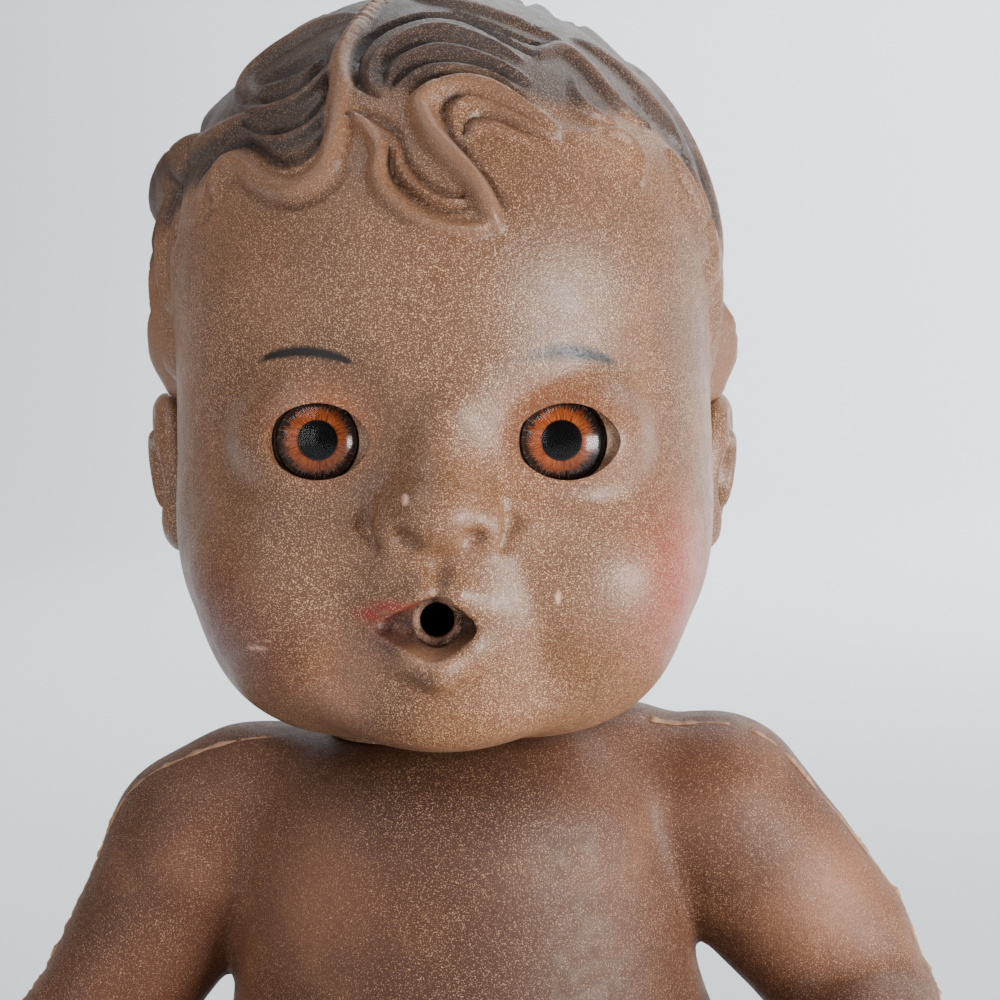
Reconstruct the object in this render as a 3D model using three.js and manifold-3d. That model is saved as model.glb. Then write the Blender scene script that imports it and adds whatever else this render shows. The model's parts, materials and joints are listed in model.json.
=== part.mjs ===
// Hollow rubber baby doll, sitting. A moulded head with combed hair turns in the neck of a
// one-piece body, and carries two inset eyes and a drinking tube in its open mouth. The body has
// a squeeze whistle in its back and a drain eyelet between its legs.
// Millimetres, +Z up. The doll faces -Y, its left side is +X, and the origin is the middle of its flat seat.
import * as THREE from "three";
import { mergeVertices } from "three/addons/utils/BufferGeometryUtils.js";
import Module from "manifold-3d";

const wasm = await Module();
wasm.setup();

// Driving dimensions

const WALL = 2.6; // rubber thickness of head and body
const CLEARANCE = 0.3; // gap all round between fitted pieces

const NECK_HEIGHT = 104; // top of the body's neck lip above the seat
const NECK_RADIUS = 15; // the head's neck, in its groove
const NECK_LIP = 3; // thickness of the body's lip that sits in the groove
const NECK_FLANGE = 3.5; // how far the head's flange reaches under the lip
const NECK_FLANGE_HEIGHT = 3;
const NECK_COLLAR = 19; // radius of the head's underside above the lip

const HEAD_WIDTH = 87; // over the hair, without its locks
const HEAD_DEPTH = 98;
const HEAD_SETBACK = 2; // middle of the skull behind the neck axis
const HEAD_TILT = 4; // degrees that the head leans to its left
const CROWN_HEIGHT = 116; // top of the hair above the neck lip
const SKULL_HALF_HEIGHT = 45;
const FACE_WIDTH = 83; // across the temples
const FACE_HEIGHT = 41; // middle of the face's round above the neck lip
const JAW_WIDTH = 77; // across the lower cheeks
const JAW_HEIGHT = 27;
const NAPE_WIDTH = 56;

const CHEEK_HEIGHT = 27;
const CHEEK_SPREAD = 21;
const CHEEK_RADIUS = 14;
const JOWL_HEIGHT = 17.4;
const JOWL_SPREAD = 13;
const CHIN_HEIGHT = 12;
const CHIN_RADIUS = 12;
const NOSE_HEIGHT = 38.4;
const NOSE_WIDTH = 19;
const NOSE_REACH = 6.7; // how far the nose stands out of the face
const MOUTH_HEIGHT = 23;
const MOUTH_WIDTH = 18.8; // between the corners of the lips
const MOUTH_OPENING = 13.2; // length of the parting between the lips
const MOUTH_SHIFT = 0.3; // towards the doll's right
const LIP_RADIUS = 2.6;
const EAR_HEIGHT = 41;
const EAR_LENGTH = 24;
const EAR_WIDTH = 15;
const EAR_THICKNESS = 7.2;
const EAR_INSET = 51.5; // ear's middle behind the front of the face

const EYE_HEIGHT = 48; // above the neck lip
const EYE_SPACING = 34.6;
const EYE_TURN = 5; // degrees that each eye looks outward
const EYE_OPENING = 15; // length of the almond between the lids
const EYE_OPENING_HEIGHT = 10.8;
const EYE_LENS_RADIUS = 6;
const EYE_LENS_RISE = 2.6;
const EYE_RIM = 0.7; // how much wider the cup is than the lens
const EYE_CUP_DEPTH = 5.5;
const EYE_CUP_WALL = 0.7;
const EYE_INSET = 5.4; // lens's base behind the front of the face
const IRIS_THICKNESS = 0.7;
const PUPIL_RADIUS = 2.6;
const PUPIL_RISE = 0.5;

const TUBE_BORE = 6; // drinking tube
const TUBE_WALL = 1.2;
const TUBE_LENGTH = 16;
const TUBE_FLARE = 0.6;
const TUBE_INSET = 2.5; // mouth of the tube behind the front of the face

const CHEST_WIDTH = 79;
const CHEST_DEPTH = 62;
const CHEST_HEIGHT = 74; // its middle above the seat
const BELLY_WIDTH = 86;
const BELLY_DEPTH = 76;
const BELLY_HEIGHT = 39;
const SEAT_CUT = 2; // how much of the rounded bottom the flat seat takes off
const BUTTOCK_SPREAD = 17;
const BUTTOCK_RADIUS = 21;
const NECK_SLOPE = 13; // degrees that the body rises from its neck lip towards the shoulders

const SHOULDER_SPREAD = 41; // from the middle of the body
const SHOULDER_HEIGHT = 86;
const SHOULDER_RADIUS = 15;
const UPPER_ARM_LENGTH = 40;
const UPPER_ARM_SPREAD = 36; // degrees out from hanging straight down
const ELBOW_RADIUS = 11.5;
const FOREARM_LENGTH = 35;
const FOREARM_DROP = 15; // degrees below level
const WRIST_RADIUS = 8.2;
const PALM_LENGTH = 21;
const PALM_WIDTH = 18;
const PALM_THICKNESS = 11;
const FINGER_RADIUS = 3.1;
const FINGER_LENGTH = 11;

const HIP_SPREAD = 23; // from the middle of the body
const HIP_RADIUS = 24;
const THIGH_LENGTH = 69;
const THIGH_SPLAY = 22; // degrees that each thigh turns out
const KNEE_RADIUS = 18;
const CALF_LENGTH = 44;
const CALF_RETURN = 13; // degrees that each calf turns in again
const ANKLE_RADIUS = 11.5;
const FOOT_LENGTH = 38;
const FOOT_RADIUS = 10;
const FOOT_LEAN = 14; // degrees that each sole leans forward
const TOE_RADIUS = 3.6;

const WHISTLE_HEIGHT = 60; // its axis above the seat
const WHISTLE_RADIUS = 7.5;
const WHISTLE_DEPTH = 8;
const WHISTLE_WALL = 0.6;
const WHISTLE_RIM = 1.2;
const WHISTLE_HOLE = 1.1;
const REED_THICKNESS = 0.4;
const REED_WIDTH = 3.6;
const REED_LENGTH = 8;

const DRAIN_BORE = 3;
const DRAIN_WALL = 0.6;
const DRAIN_RIM = 1.4;
const DRAIN_HEIGHT = 12;

// Finishes

function finish(color, roughness, metalness = 0) {
  return new THREE.MeshStandardMaterial({ color, roughness, metalness });
}
const BROWN_RUBBER = finish(0x7a5744, 0.55);
const PALE_RUBBER = finish(0xa98d78, 0.6);
const CLEAR_ACETATE = finish(0xe8ecee, 0.08);
const AMBER_PRINT = finish(0xb4511c, 0.4);
const BLACK_ACETATE = finish(0x14100e, 0.25);
const TINNED_STEEL = finish(0xb9b7b0, 0.35, 1);
const BRASS = finish(0xb08d4a, 0.35, 1);

// Solids

const radians = THREE.MathUtils.degToRad;

function solidOf(geometry) {
  const bare = geometry.clone();
  bare.deleteAttribute("normal");
  bare.deleteAttribute("uv");
  const merged = mergeVertices(bare, 1e-4);
  const vertProperties = merged.attributes.position.array;
  const triVerts = new Uint32Array(merged.index.array);
  return new wasm.Manifold(new wasm.Mesh({ numProp: 3, vertProperties, triVerts }));
}

function geometryOf(solid) {
  const { vertProperties, triVerts } = solid.getMesh();
  return new THREE.BufferGeometry()
    .setAttribute("position", new THREE.BufferAttribute(new Float32Array(vertProperties), 3))
    .setIndex(new THREE.BufferAttribute(new Uint32Array(triVerts), 1));
}

const joined = (solids) => solids.reduce((all, one) => all.add(one));

function mesh(name, geometry, material) {
  const made = new THREE.Mesh(geometry, material);
  made.name = name;
  return made;
}

// A solid of revolution about +Z from [radius, height] pairs, listed anticlockwise round the section.
function turned(profile, segments) {
  const points = profile.map(([radius, height]) => new THREE.Vector2(radius, height));
  const onAxis = points[0].x === 0 && points.at(-1).x === 0;
  if (!onAxis) points.push(points[0].clone());
  return new THREE.LatheGeometry(points, segments).rotateX(Math.PI / 2);
}

// A closed skin over rings of equal point count, each end closed to the ring's middle.
function loft(rings) {
  const sides = rings[0].length;
  const middle = (ring) => ring.reduce((sum, p) => sum.add(p), new THREE.Vector3()).divideScalar(sides);
  const points = [...rings.flat(), middle(rings[0]), middle(rings.at(-1))];
  const index = [];
  const first = rings.length * sides;
  for (let j = 0; j < sides; j += 1) {
    const k = (j + 1) % sides;
    for (let i = 0; i + 1 < rings.length; i += 1) {
      const [a, b, c, d] = [i * sides + j, i * sides + k, (i + 1) * sides + k, (i + 1) * sides + j];
      index.push(a, b, c, a, c, d);
    }
    const last = (rings.length - 1) * sides;
    index.push(first, k, j, first + 1, last + j, last + k);
  }
  return new THREE.BufferGeometry().setFromPoints(points).setIndex(index);
}

function mirrored(geometry) {
  const copy = geometry.clone().scale(-1, 1, 1);
  const index = copy.index.array;
  for (let i = 0; i < index.length; i += 3) [index[i], index[i + 1]] = [index[i + 1], index[i]];
  return copy;
}

// Soft forms: each is a field of a point, negative inside, that melts into its neighbours

const at = (x, y, z) => new THREE.Vector3(x, y, z);

function ball(centre, radii) {
  return (p) => {
    const q = p.clone().sub(centre).divide(radii);
    const slope = q.clone().divide(radii).length();
    const reach = q.length();
    return slope === 0 ? -Math.min(radii.x, radii.y, radii.z) : (reach * (reach - 1)) / slope;
  };
}

function taper(start, startRadius, end, endRadius) {
  const axis = end.clone().sub(start);
  return (p) => {
    const along = THREE.MathUtils.clamp(p.clone().sub(start).dot(axis) / axis.lengthSq(), 0, 1);
    const nearest = start.clone().addScaledVector(axis, along);
    return nearest.distanceTo(p) - THREE.MathUtils.lerp(startRadius, endRadius, along);
  };
}

function softMin(a, b, melt) {
  const share = Math.max(melt - Math.abs(a - b), 0) / melt;
  return Math.min(a, b) - (share * share * melt) / 4;
}

function melted(melt, ...forms) {
  return (p) => forms.reduce((value, form) => softMin(value, form(p), melt), Infinity);
}

function hollowed(melt, form, cut) {
  return (p) => -softMin(-form(p), cut(p), melt);
}

const onBothSides = (form) => (p) => form(at(Math.abs(p.x), p.y, p.z));

// The point where a ray from inside a form leaves it, or comes within the depth of its surface.
function leaves(form, start, direction, depth = 0) {
  const step = 1;
  const inside = (t) => form(start.clone().addScaledVector(direction, t)) < -depth;
  let near = 0;
  while (inside(near + step)) near += step;
  let far = near + step;
  for (let i = 0; i < 20; i += 1) {
    const half = (near + far) / 2;
    if (inside(half)) near = half;
    else far = half;
  }
  return start.clone().addScaledVector(direction, near);
}

// Skin of a form that every ray from the start leaves once. A focus makes its facets finer in the middle of
// each side, and a depth lays it under the surface.
function skinned(form, start, { counts: [columns, layers, rows], focus = 0, depth = 0 }) {
  const spread = (s) => Math.tan(((1 - focus) * s + focus * s ** 3) * (Math.PI / 4));
  const box = new THREE.BoxGeometry(2, 2, 2, columns, layers, rows);
  box.deleteAttribute("normal");
  box.deleteAttribute("uv");
  const skin = mergeVertices(box, 1e-4);
  const place = skin.attributes.position;
  for (let i = 0; i < place.count; i += 1) {
    const direction = at(spread(place.getX(i)), spread(place.getY(i)), spread(place.getZ(i))).normalize();
    place.setXYZ(i, ...leaves(form, start, direction, depth).toArray());
  }
  return skin;
}

// A limb of revolution between two points, swelling through radii spaced evenly along it.
// Its far end is round. Its near end is a flatter dome, which mostly lies inside what the limb grows from.
const ROOT_DOME = 0.3;
function limb({ start, end, radii, dome = ROOT_DOME }, sides, inset = 0) {
  const endSteps = Math.max(2, Math.floor(sides / 4));
  const length = start.distanceTo(end);
  const station = (radius, i) => new THREE.Vector2(radius - inset, (length * i) / (radii.length - 1));
  const side = new THREE.SplineCurve(radii.map(station)).getPoints(radii.length - 1);
  const [root, tip] = [side[0].x, side.at(-1).x];
  const bulge = dome > ROOT_DOME ? [[0.75 * root, -0.6 * dome * root]] : [];
  const profile = [[0, -dome * root], ...bulge, ...side.map((p) => [p.x, p.y])];
  for (let i = 1; i < endSteps; i += 1) {
    const turn = (Math.PI / 2) * (i / endSteps);
    profile.push([tip * Math.cos(turn), length + tip * Math.sin(turn)]);
  }
  profile.push([0, length + tip]);
  const along = end.clone().sub(start).normalize();
  const turn = new THREE.Quaternion().setFromUnitVectors(at(0, 0, 1), along);
  return turned(profile, sides).applyQuaternion(turn).translate(...start.toArray());
}

// Head, in a frame at the neck joint

const FACE_FRONT = HEAD_SETBACK - HEAD_DEPTH / 2 + 0.5;
const SKULL_CENTRE = at(0, HEAD_SETBACK, CROWN_HEIGHT - SKULL_HALF_HEIGHT);
const HEAD_MIDDLE = at(0, HEAD_SETBACK, SKULL_CENTRE.z - 5);

// A round of the face: its middle lies at an inset behind the front of the face, at a height above the neck
// lip, and at a spread to the doll's left.
function round({ inset, height, spread = 0, radii }) {
  return ball(at(spread, FACE_FRONT + inset, height), at(...radii));
}

const skull = ball(SKULL_CENTRE, at(HEAD_WIDTH / 2, HEAD_DEPTH / 2, SKULL_HALF_HEIGHT));
const nape = ball(at(0, HEAD_SETBACK + 10, 22), at(NAPE_WIDTH / 2, 24, 20));
const face = round({ inset: 40.5, height: FACE_HEIGHT, radii: [FACE_WIDTH / 2, 40.5, 35] });
const jaw = round({ inset: 33.5, height: JAW_HEIGHT, radii: [JAW_WIDTH / 2, 32.5, 25.4] });
const jowls = round({ inset: 27.5, height: JOWL_HEIGHT, spread: JOWL_SPREAD, radii: [17, 18, 14.6] });
const cheeks = round({
  inset: 17.5,
  height: CHEEK_HEIGHT,
  spread: CHEEK_SPREAD,
  radii: [CHEEK_RADIUS, CHEEK_RADIUS + 1, CHEEK_RADIUS],
});
const chin = round({ inset: 11.5, height: CHIN_HEIGHT, radii: [CHIN_RADIUS, 9, 8.4] });
const muzzle = round({ inset: 9, height: MOUTH_HEIGHT + 1, radii: [12.5, 10.6, 12] });
const socket = round({ inset: -3, height: EYE_HEIGHT + 1, spread: EYE_SPACING / 2, radii: [11.5, 7, 9] });
const lids = round({ inset: 11.7, height: EYE_HEIGHT, spread: EYE_SPACING / 2, radii: [12.4, 10.6, 10.2] });

const noseTip = round({ inset: 6.2 - NOSE_REACH, height: NOSE_HEIGHT, radii: [0.35 * NOSE_WIDTH, 6.2, 5.2] });
const noseBridge = taper(
  at(0, FACE_FRONT + 2.9, NOSE_HEIGHT + 13),
  3.2,
  at(0, FACE_FRONT + 1.5, NOSE_HEIGHT + 3),
  4.8,
);
const noseWing = round({
  inset: 1.5,
  height: NOSE_HEIGHT - 1.6,
  spread: NOSE_WIDTH / 2 - 3.1,
  radii: [3.1, 4.6, 3.8],
});

// Half a lip, from its middle to the corner of the mouth.
const LIP_CORNER = 1.2;
function lip(rise, radius, inset) {
  const corner = at(MOUTH_WIDTH / 2, FACE_FRONT + 2.8, MOUTH_HEIGHT);
  return taper(at(1, FACE_FRONT + inset, MOUTH_HEIGHT + rise), radius, corner, LIP_CORNER);
}
const upperLip = lip(4.3, LIP_RADIUS, -0.9);
const lowerLip = lip(-6.2, LIP_RADIUS + 0.5, 0.1);

const cranium = melted(10, skull, face, jaw, nape);
const flesh = melted(7, melted(5, cranium, onBothSides(jowls)), onBothSides(cheeks), chin, muzzle);
const brows = melted(2.5, hollowed(5, flesh, onBothSides(socket)), onBothSides(lids));
const nose = melted(1.4, melted(2.5, brows, melted(3, noseTip, noseBridge)), onBothSides(noseWing));
const headForm = melted(2.4, nose, onBothSides(upperLip), onBothSides(lowerLip));

// Hair is combed from a parting over the doll's right brow, and from a whorl at the back of the crown.
// Each lock is a tapered strand along bearings: degrees to the doll's left of its nose, and degrees above
// the middle of its head.
const PARTING = {
  width: 5,
  height: 2.1,
  route: [[-14, 84], [-28, 65], [-25, 51], [-20, 36], [-19, 28], [-22, 23], [-35, 24], [-43, 28], [-47, 23]],
};
const FORELOCK = [
  { width: 4, height: 1.8, route: [[23, 30], [15, 36], [5, 39], [-3, 36]] },
  { width: 5.6, height: 2.6, route: [[0, 38], [-4, 35], [-1, 29], [4, 23], [8, 17], [9, 14]] },
  { width: 3, height: 1.2, route: [[3, 30], [4, 35], [9, 35], [17, 32], [22, 29]] },
  { width: 4.2, height: 1.9, route: [[-17, 33], [-10, 26], [-9, 20], [-3, 15], [6, 13], [9, 15]] },
  { width: 4, height: 1.3, route: [[-13, 39], [-14, 46], [-5, 51], [8, 50], [19, 44]] },
];
const RIGHT_LOCKS = [
  { width: 7, height: 1.8, route: [[-33, 61], [-44, 59], [-56, 51], [-59, 47], [-55, 43], [-46, 39]] },
  { width: 4, height: 1.4, route: [[-24, 42], [-27, 36], [-35, 33], [-50, 36]] },
  { width: 7, height: 1.9, route: [[-43, 35], [-51, 33], [-62, 31], [-74, 28]] },
  { width: 6, height: 2.2, route: [[-66, 30], [-74, 18], [-74, 10], [-73, 2]] },
  { width: 6.6, height: 2.8, route: [[-82, 30], [-82, 20], [-81, 10], [-79, 0], [-82, -13]] },
];
const LEFT_LOCKS = [
  { width: 4.4, height: 1.4, route: [[-14, 70], [14, 62], [36, 53]] },
  { width: 5, height: 1.3, route: [[24, 47], [30, 50], [38, 46], [40, 42], [49, 36]] },
  { width: 6, height: 1.2, route: [[44, 55], [55, 47], [63, 37], [64, 32]] },
  { width: 4.6, height: 1.4, route: [[55, 31], [62, 21], [66, 16]] },
  { width: 6, height: 1.6, route: [[64, 30], [72, 10], [79, -7], [83, -13]] },
];

function bearingOf([bearing, rise]) {
  const [turn, lift] = [radians(bearing), radians(rise)];
  return at(Math.sin(turn) * Math.cos(lift), -Math.cos(turn) * Math.cos(lift), Math.sin(lift));
}

// Waves that spread from the whorl down to the nape and the ears, as directions from the middle of the head.
const WHORL = bearingOf([178, 58]);
const WHORL_WAVES = 7;
const WHORL_EYE = 14; // degrees from the whorl to where its waves begin
const WHORL_REACH = 92; // degrees to where they end
const WHORL_FAN = 280; // degrees of the whorl's round, open towards the front hair
const WHORL_KNOTS = 6;
function whorlWave(rank) {
  const east = at(0, 0, 1).cross(WHORL).normalize();
  const south = east.clone().cross(WHORL).normalize();
  const heading = radians(WHORL_FAN) * ((rank + 0.5) / WHORL_WAVES - 0.5);
  const away = south.multiplyScalar(Math.cos(heading)).addScaledVector(east, Math.sin(heading));
  const across = WHORL.clone().cross(away);
  const directions = [];
  for (let i = 0; i <= WHORL_KNOTS; i += 1) {
    const reach = radians(WHORL_EYE + ((WHORL_REACH - WHORL_EYE) * i) / WHORL_KNOTS);
    const sway = 0.12 * Math.sin(2.6 * Math.PI * (i / WHORL_KNOTS));
    const outward = away.clone().addScaledVector(across, sway).multiplyScalar(Math.sin(reach));
    directions.push(WHORL.clone().multiplyScalar(Math.cos(reach)).add(outward).normalize());
  }
  return { width: 12, height: 1.6, directions };
}

// Each ring of a lock has a crest, two edges just under the head's surface and a root inside its wall.
const LOCK_SINK = 0.5;
const LOCK_ROOT = 2;
function hairLock({ width, height, route, directions = route.map(bearingOf) }) {
  const curve = new THREE.CatmullRomCurve3(directions);
  const steps = Math.round(1.2 * (directions.length - 1));
  const rings = [];
  for (let i = 0; i <= steps; i += 1) {
    const along = i / steps;
    const out = curve.getPointAt(along).normalize();
    const middle = leaves(headForm, HEAD_MIDDLE, out);
    const across = curve.getTangentAt(along).cross(out).normalize();
    const swell = 0.25 + 0.75 * Math.sqrt(Math.sin(Math.PI * along));
    const half = (swell * width) / 2;
    const section = [[half, -LOCK_SINK], [0, swell * height], [-half, -LOCK_SINK], [0, -LOCK_ROOT]];
    rings.push(section.map(([sideways, outward]) =>
      middle.clone().addScaledVector(across, -sideways).addScaledVector(out, outward),
    ));
  }
  return loft(rings);
}

function hair() {
  const locks = [PARTING, ...FORELOCK, ...RIGHT_LOCKS, ...LEFT_LOCKS];
  for (let rank = 0; rank < WHORL_WAVES; rank += 1) locks.push(whorlWave(rank));
  return locks.map(hairLock);
}

const EAR_FLARE = 16; // degrees that the ear's back edge stands off the head
const EAR_LEAN = 6;
function ear() {
  const shell = new THREE.SphereGeometry(0.5, 10, 8).scale(EAR_THICKNESS, EAR_WIDTH, EAR_LENGTH);
  const bowl = new THREE.SphereGeometry(0.5, 8, 6)
    .scale(EAR_THICKNESS * 0.9, EAR_WIDTH * 0.6, EAR_LENGTH * 0.6)
    .translate(EAR_THICKNESS * 0.55, -EAR_WIDTH * 0.06, EAR_LENGTH * 0.04);
  return geometryOf(solidOf(shell).subtract(solidOf(bowl)))
    .rotateY(radians(EAR_LEAN))
    .rotateZ(radians(-EAR_FLARE))
    .translate(FACE_WIDTH / 2 + 2.5, FACE_FRONT + EAR_INSET, EAR_HEIGHT);
}

// Eyes: a cup pressed into a pocket behind the lids holds the iris, the pupil and the clear lens

const EYE_CUP_RADIUS = EYE_LENS_RADIUS + EYE_RIM;
const POCKET_RADIUS = EYE_CUP_RADIUS + CLEARANCE;
const LID_RADIUS = EYE_LENS_RADIUS + CLEARANCE;
const EYE_SEGMENTS = 14;

// Each eye's own frame: its origin in the middle of the lens's base, +Z out of the face.
function eyeFrame(side) {
  const frame = new THREE.Group();
  frame.position.set((side * EYE_SPACING) / 2, FACE_FRONT + EYE_INSET, EYE_HEIGHT);
  frame.rotation.set(Math.PI / 2, radians(side * EYE_TURN), 0, "ZXY");
  return frame;
}

// The round top of a turned section, from its edge at the base to the axis.
const DOME_STEPS = 3;
function dome(radius, rise, base) {
  const points = [];
  for (let i = 1; i < DOME_STEPS; i += 1) {
    const turn = (Math.PI / 2) * (i / DOME_STEPS);
    points.push([radius * Math.cos(turn), base + rise * Math.sin(turn)]);
  }
  return [...points, [0, base + rise]];
}

const LENS_EDGE = 0.3; // straight foot of the lens
const eyePocket = () =>
  turned(
    [
      [0, -EYE_CUP_DEPTH - CLEARANCE],
      [POCKET_RADIUS, -EYE_CUP_DEPTH - CLEARANCE],
      [POCKET_RADIUS, CLEARANCE],
      [LID_RADIUS, CLEARANCE],
      ...dome(LID_RADIUS, EYE_LENS_RISE, LENS_EDGE + CLEARANCE),
    ],
    EYE_SEGMENTS,
  );

// The almond between the lids, in front of the lens's foot.
function lidOpening() {
  const [long, high] = [EYE_OPENING / 2, EYE_OPENING_HEIGHT / 2];
  const [pull, bow] = [0.55 * long, (4 / 3) * high];
  const shape = new THREE.Shape()
    .moveTo(-long, 0)
    .bezierCurveTo(-pull, -bow, pull, -bow, long, 0)
    .bezierCurveTo(pull, bow, -pull, bow, -long, 0);
  const DEEP = 12;
  const cut = new THREE.ExtrudeGeometry(shape, { depth: DEEP, bevelEnabled: false, curveSegments: 7 });
  return cut.translate(0, 0, LENS_EDGE + CLEARANCE);
}

const eyeBoss = () =>
  turned(
    [
      [0, -EYE_CUP_DEPTH - WALL],
      [POCKET_RADIUS + WALL, -EYE_CUP_DEPTH - WALL],
      [POCKET_RADIUS + WALL, EYE_LENS_RISE],
      [0, EYE_LENS_RISE],
    ],
    EYE_SEGMENTS,
  );

const IRIS_SEAT = -1.6; // floor of the cup, behind the lens's base
const IRIS_RADIUS = EYE_CUP_RADIUS - EYE_CUP_WALL - CLEARANCE;
function eyeCup() {
  const inner = EYE_CUP_RADIUS - EYE_CUP_WALL;
  const floor = IRIS_SEAT - CLEARANCE;
  const profile = [
    [0, -EYE_CUP_DEPTH],
    [EYE_CUP_RADIUS * 0.75, -EYE_CUP_DEPTH],
    [EYE_CUP_RADIUS, -EYE_CUP_DEPTH * 0.6],
    [EYE_CUP_RADIUS, -CLEARANCE],
    [inner, -CLEARANCE],
    [inner, floor],
    [0, floor],
  ];
  return turned(profile, EYE_SEGMENTS);
}

function iris() {
  const hole = PUPIL_RADIUS + CLEARANCE;
  const top = IRIS_SEAT + IRIS_THICKNESS;
  const profile = [
    [hole, IRIS_SEAT],
    [IRIS_RADIUS, IRIS_SEAT],
    [IRIS_RADIUS, top],
    [hole, top - IRIS_THICKNESS * 0.3],
  ];
  return turned(profile, EYE_SEGMENTS);
}

function pupil() {
  const top = IRIS_SEAT + IRIS_THICKNESS + PUPIL_RISE;
  const profile = [
    [0, IRIS_SEAT],
    [PUPIL_RADIUS, IRIS_SEAT],
    [PUPIL_RADIUS, IRIS_SEAT + IRIS_THICKNESS],
    [PUPIL_RADIUS * 0.7, top - PUPIL_RISE * 0.25],
    [0, top],
  ];
  return turned(profile, EYE_SEGMENTS);
}

// A clear dome that stands on the cup's rim, hollowed over the pupil.
function lens() {
  const hollow = IRIS_RADIUS * 0.8;
  const rise = PUPIL_RISE + IRIS_SEAT + IRIS_THICKNESS + CLEARANCE;
  const foot = [[0, Math.max(rise, 0.05)], [hollow, 0.04], [EYE_LENS_RADIUS, 0]];
  return turned([...foot, ...dome(EYE_LENS_RADIUS, EYE_LENS_RISE, LENS_EDGE)], EYE_SEGMENTS);
}

// Drinking tube: its own frame has its mouth at the origin and +Z out of the lips

const TUBE_RADIUS = TUBE_BORE / 2 + TUBE_WALL;
const TUBE_SEGMENTS = 12;

function tubeFrame() {
  const frame = new THREE.Group();
  frame.position.set(-MOUTH_SHIFT, FACE_FRONT + TUBE_INSET, MOUTH_HEIGHT);
  frame.rotation.x = Math.PI / 2;
  return frame;
}

function drinkingTube() {
  const bore = TUBE_BORE / 2;
  const profile = [
    [bore, -TUBE_LENGTH],
    [TUBE_RADIUS, -TUBE_LENGTH],
    [TUBE_RADIUS, -TUBE_FLARE],
    [TUBE_RADIUS, 0],
    [bore + TUBE_FLARE, 0],
    [bore, -2 * TUBE_FLARE],
  ];
  return turned(profile, TUBE_SEGMENTS);
}

// The tube sits behind the lips, which close over its edge.
const LIP_OVERLAP = 0.6;
const LIP_REACH = 8;
const SEAT_REACH = 12; // past the tube's inner end, into the hollow head
const tubeSeat = () =>
  turned(
    [
      [0, -TUBE_LENGTH - SEAT_REACH],
      [TUBE_RADIUS + CLEARANCE, -TUBE_LENGTH - SEAT_REACH],
      [TUBE_RADIUS + CLEARANCE, CLEARANCE],
      [TUBE_RADIUS - LIP_OVERLAP, CLEARANCE],
      [TUBE_RADIUS - LIP_OVERLAP, LIP_REACH],
      [0, LIP_REACH],
    ],
    TUBE_SEGMENTS,
  );
const tubeBoss = () =>
  turned(
    [
      [0, -2 * WALL],
      [TUBE_RADIUS + 2 * WALL, -2 * WALL],
      [TUBE_RADIUS + 2 * WALL, LIP_REACH],
      [0, LIP_REACH],
    ],
    TUBE_SEGMENTS,
  );

// The parting between the lips: a spindle across the mouth, a little longer towards the doll's right.
const PARTING_RADIUS = 4.2;
const PARTING_END = 1;
function partedLips() {
  const half = MOUTH_OPENING / 2;
  const profile = [
    [0, -half - PARTING_END],
    [PARTING_END, -half],
    [0.72 * PARTING_RADIUS, -half / 2],
    [PARTING_RADIUS, 0],
    [0.72 * PARTING_RADIUS, half / 2],
    [PARTING_END, half],
    [0, half + PARTING_END],
  ];
  const middle = [-4 * MOUTH_SHIFT, FACE_FRONT - LIP_OVERLAP - MOUTH_SHIFT, MOUTH_HEIGHT - 0.5];
  return turned(profile, TUBE_SEGMENTS).rotateY(Math.PI / 2).translate(...middle);
}

const placed = (geometry, frame) => {
  frame.updateMatrix();
  return solidOf(geometry).transform(frame.matrix.elements);
};

// The head's neck: a groove for the body's lip between its collar and its flange.
const NECK_SEGMENTS = 20;
const NECK_BORE = NECK_RADIUS - WALL;
const FLANGE_RADIUS = NECK_RADIUS + NECK_FLANGE;
const FLANGE_TOP = -NECK_LIP - CLEARANCE;
function neckPlug() {
  const root = CHIN_HEIGHT + WALL;
  return turned(
    [
      [0, FLANGE_TOP - NECK_FLANGE_HEIGHT],
      [FLANGE_RADIUS - 1, FLANGE_TOP - NECK_FLANGE_HEIGHT],
      [FLANGE_RADIUS, FLANGE_TOP - 1],
      [FLANGE_RADIUS, FLANGE_TOP],
      [NECK_RADIUS, FLANGE_TOP],
      [NECK_RADIUS, CLEARANCE],
      [NECK_COLLAR, CLEARANCE],
      [NECK_COLLAR, root],
      [0, root],
    ],
    NECK_SEGMENTS,
  );
}

const neckBore = () =>
  turned(
    [
      [0, FLANGE_TOP - NECK_FLANGE_HEIGHT - 1],
      [NECK_BORE, FLANGE_TOP - NECK_FLANGE_HEIGHT - 1],
      [NECK_BORE, CHIN_HEIGHT + 2 * WALL],
      [0, CHIN_HEIGHT + 2 * WALL],
    ],
    NECK_SEGMENTS,
  );

const RAY_START = at(0, FACE_FRONT + 30, FACE_HEIGHT - 3);
const leftEye = eyeFrame(1);
const rightEye = eyeFrame(-1);
const mouth = tubeFrame();

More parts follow.
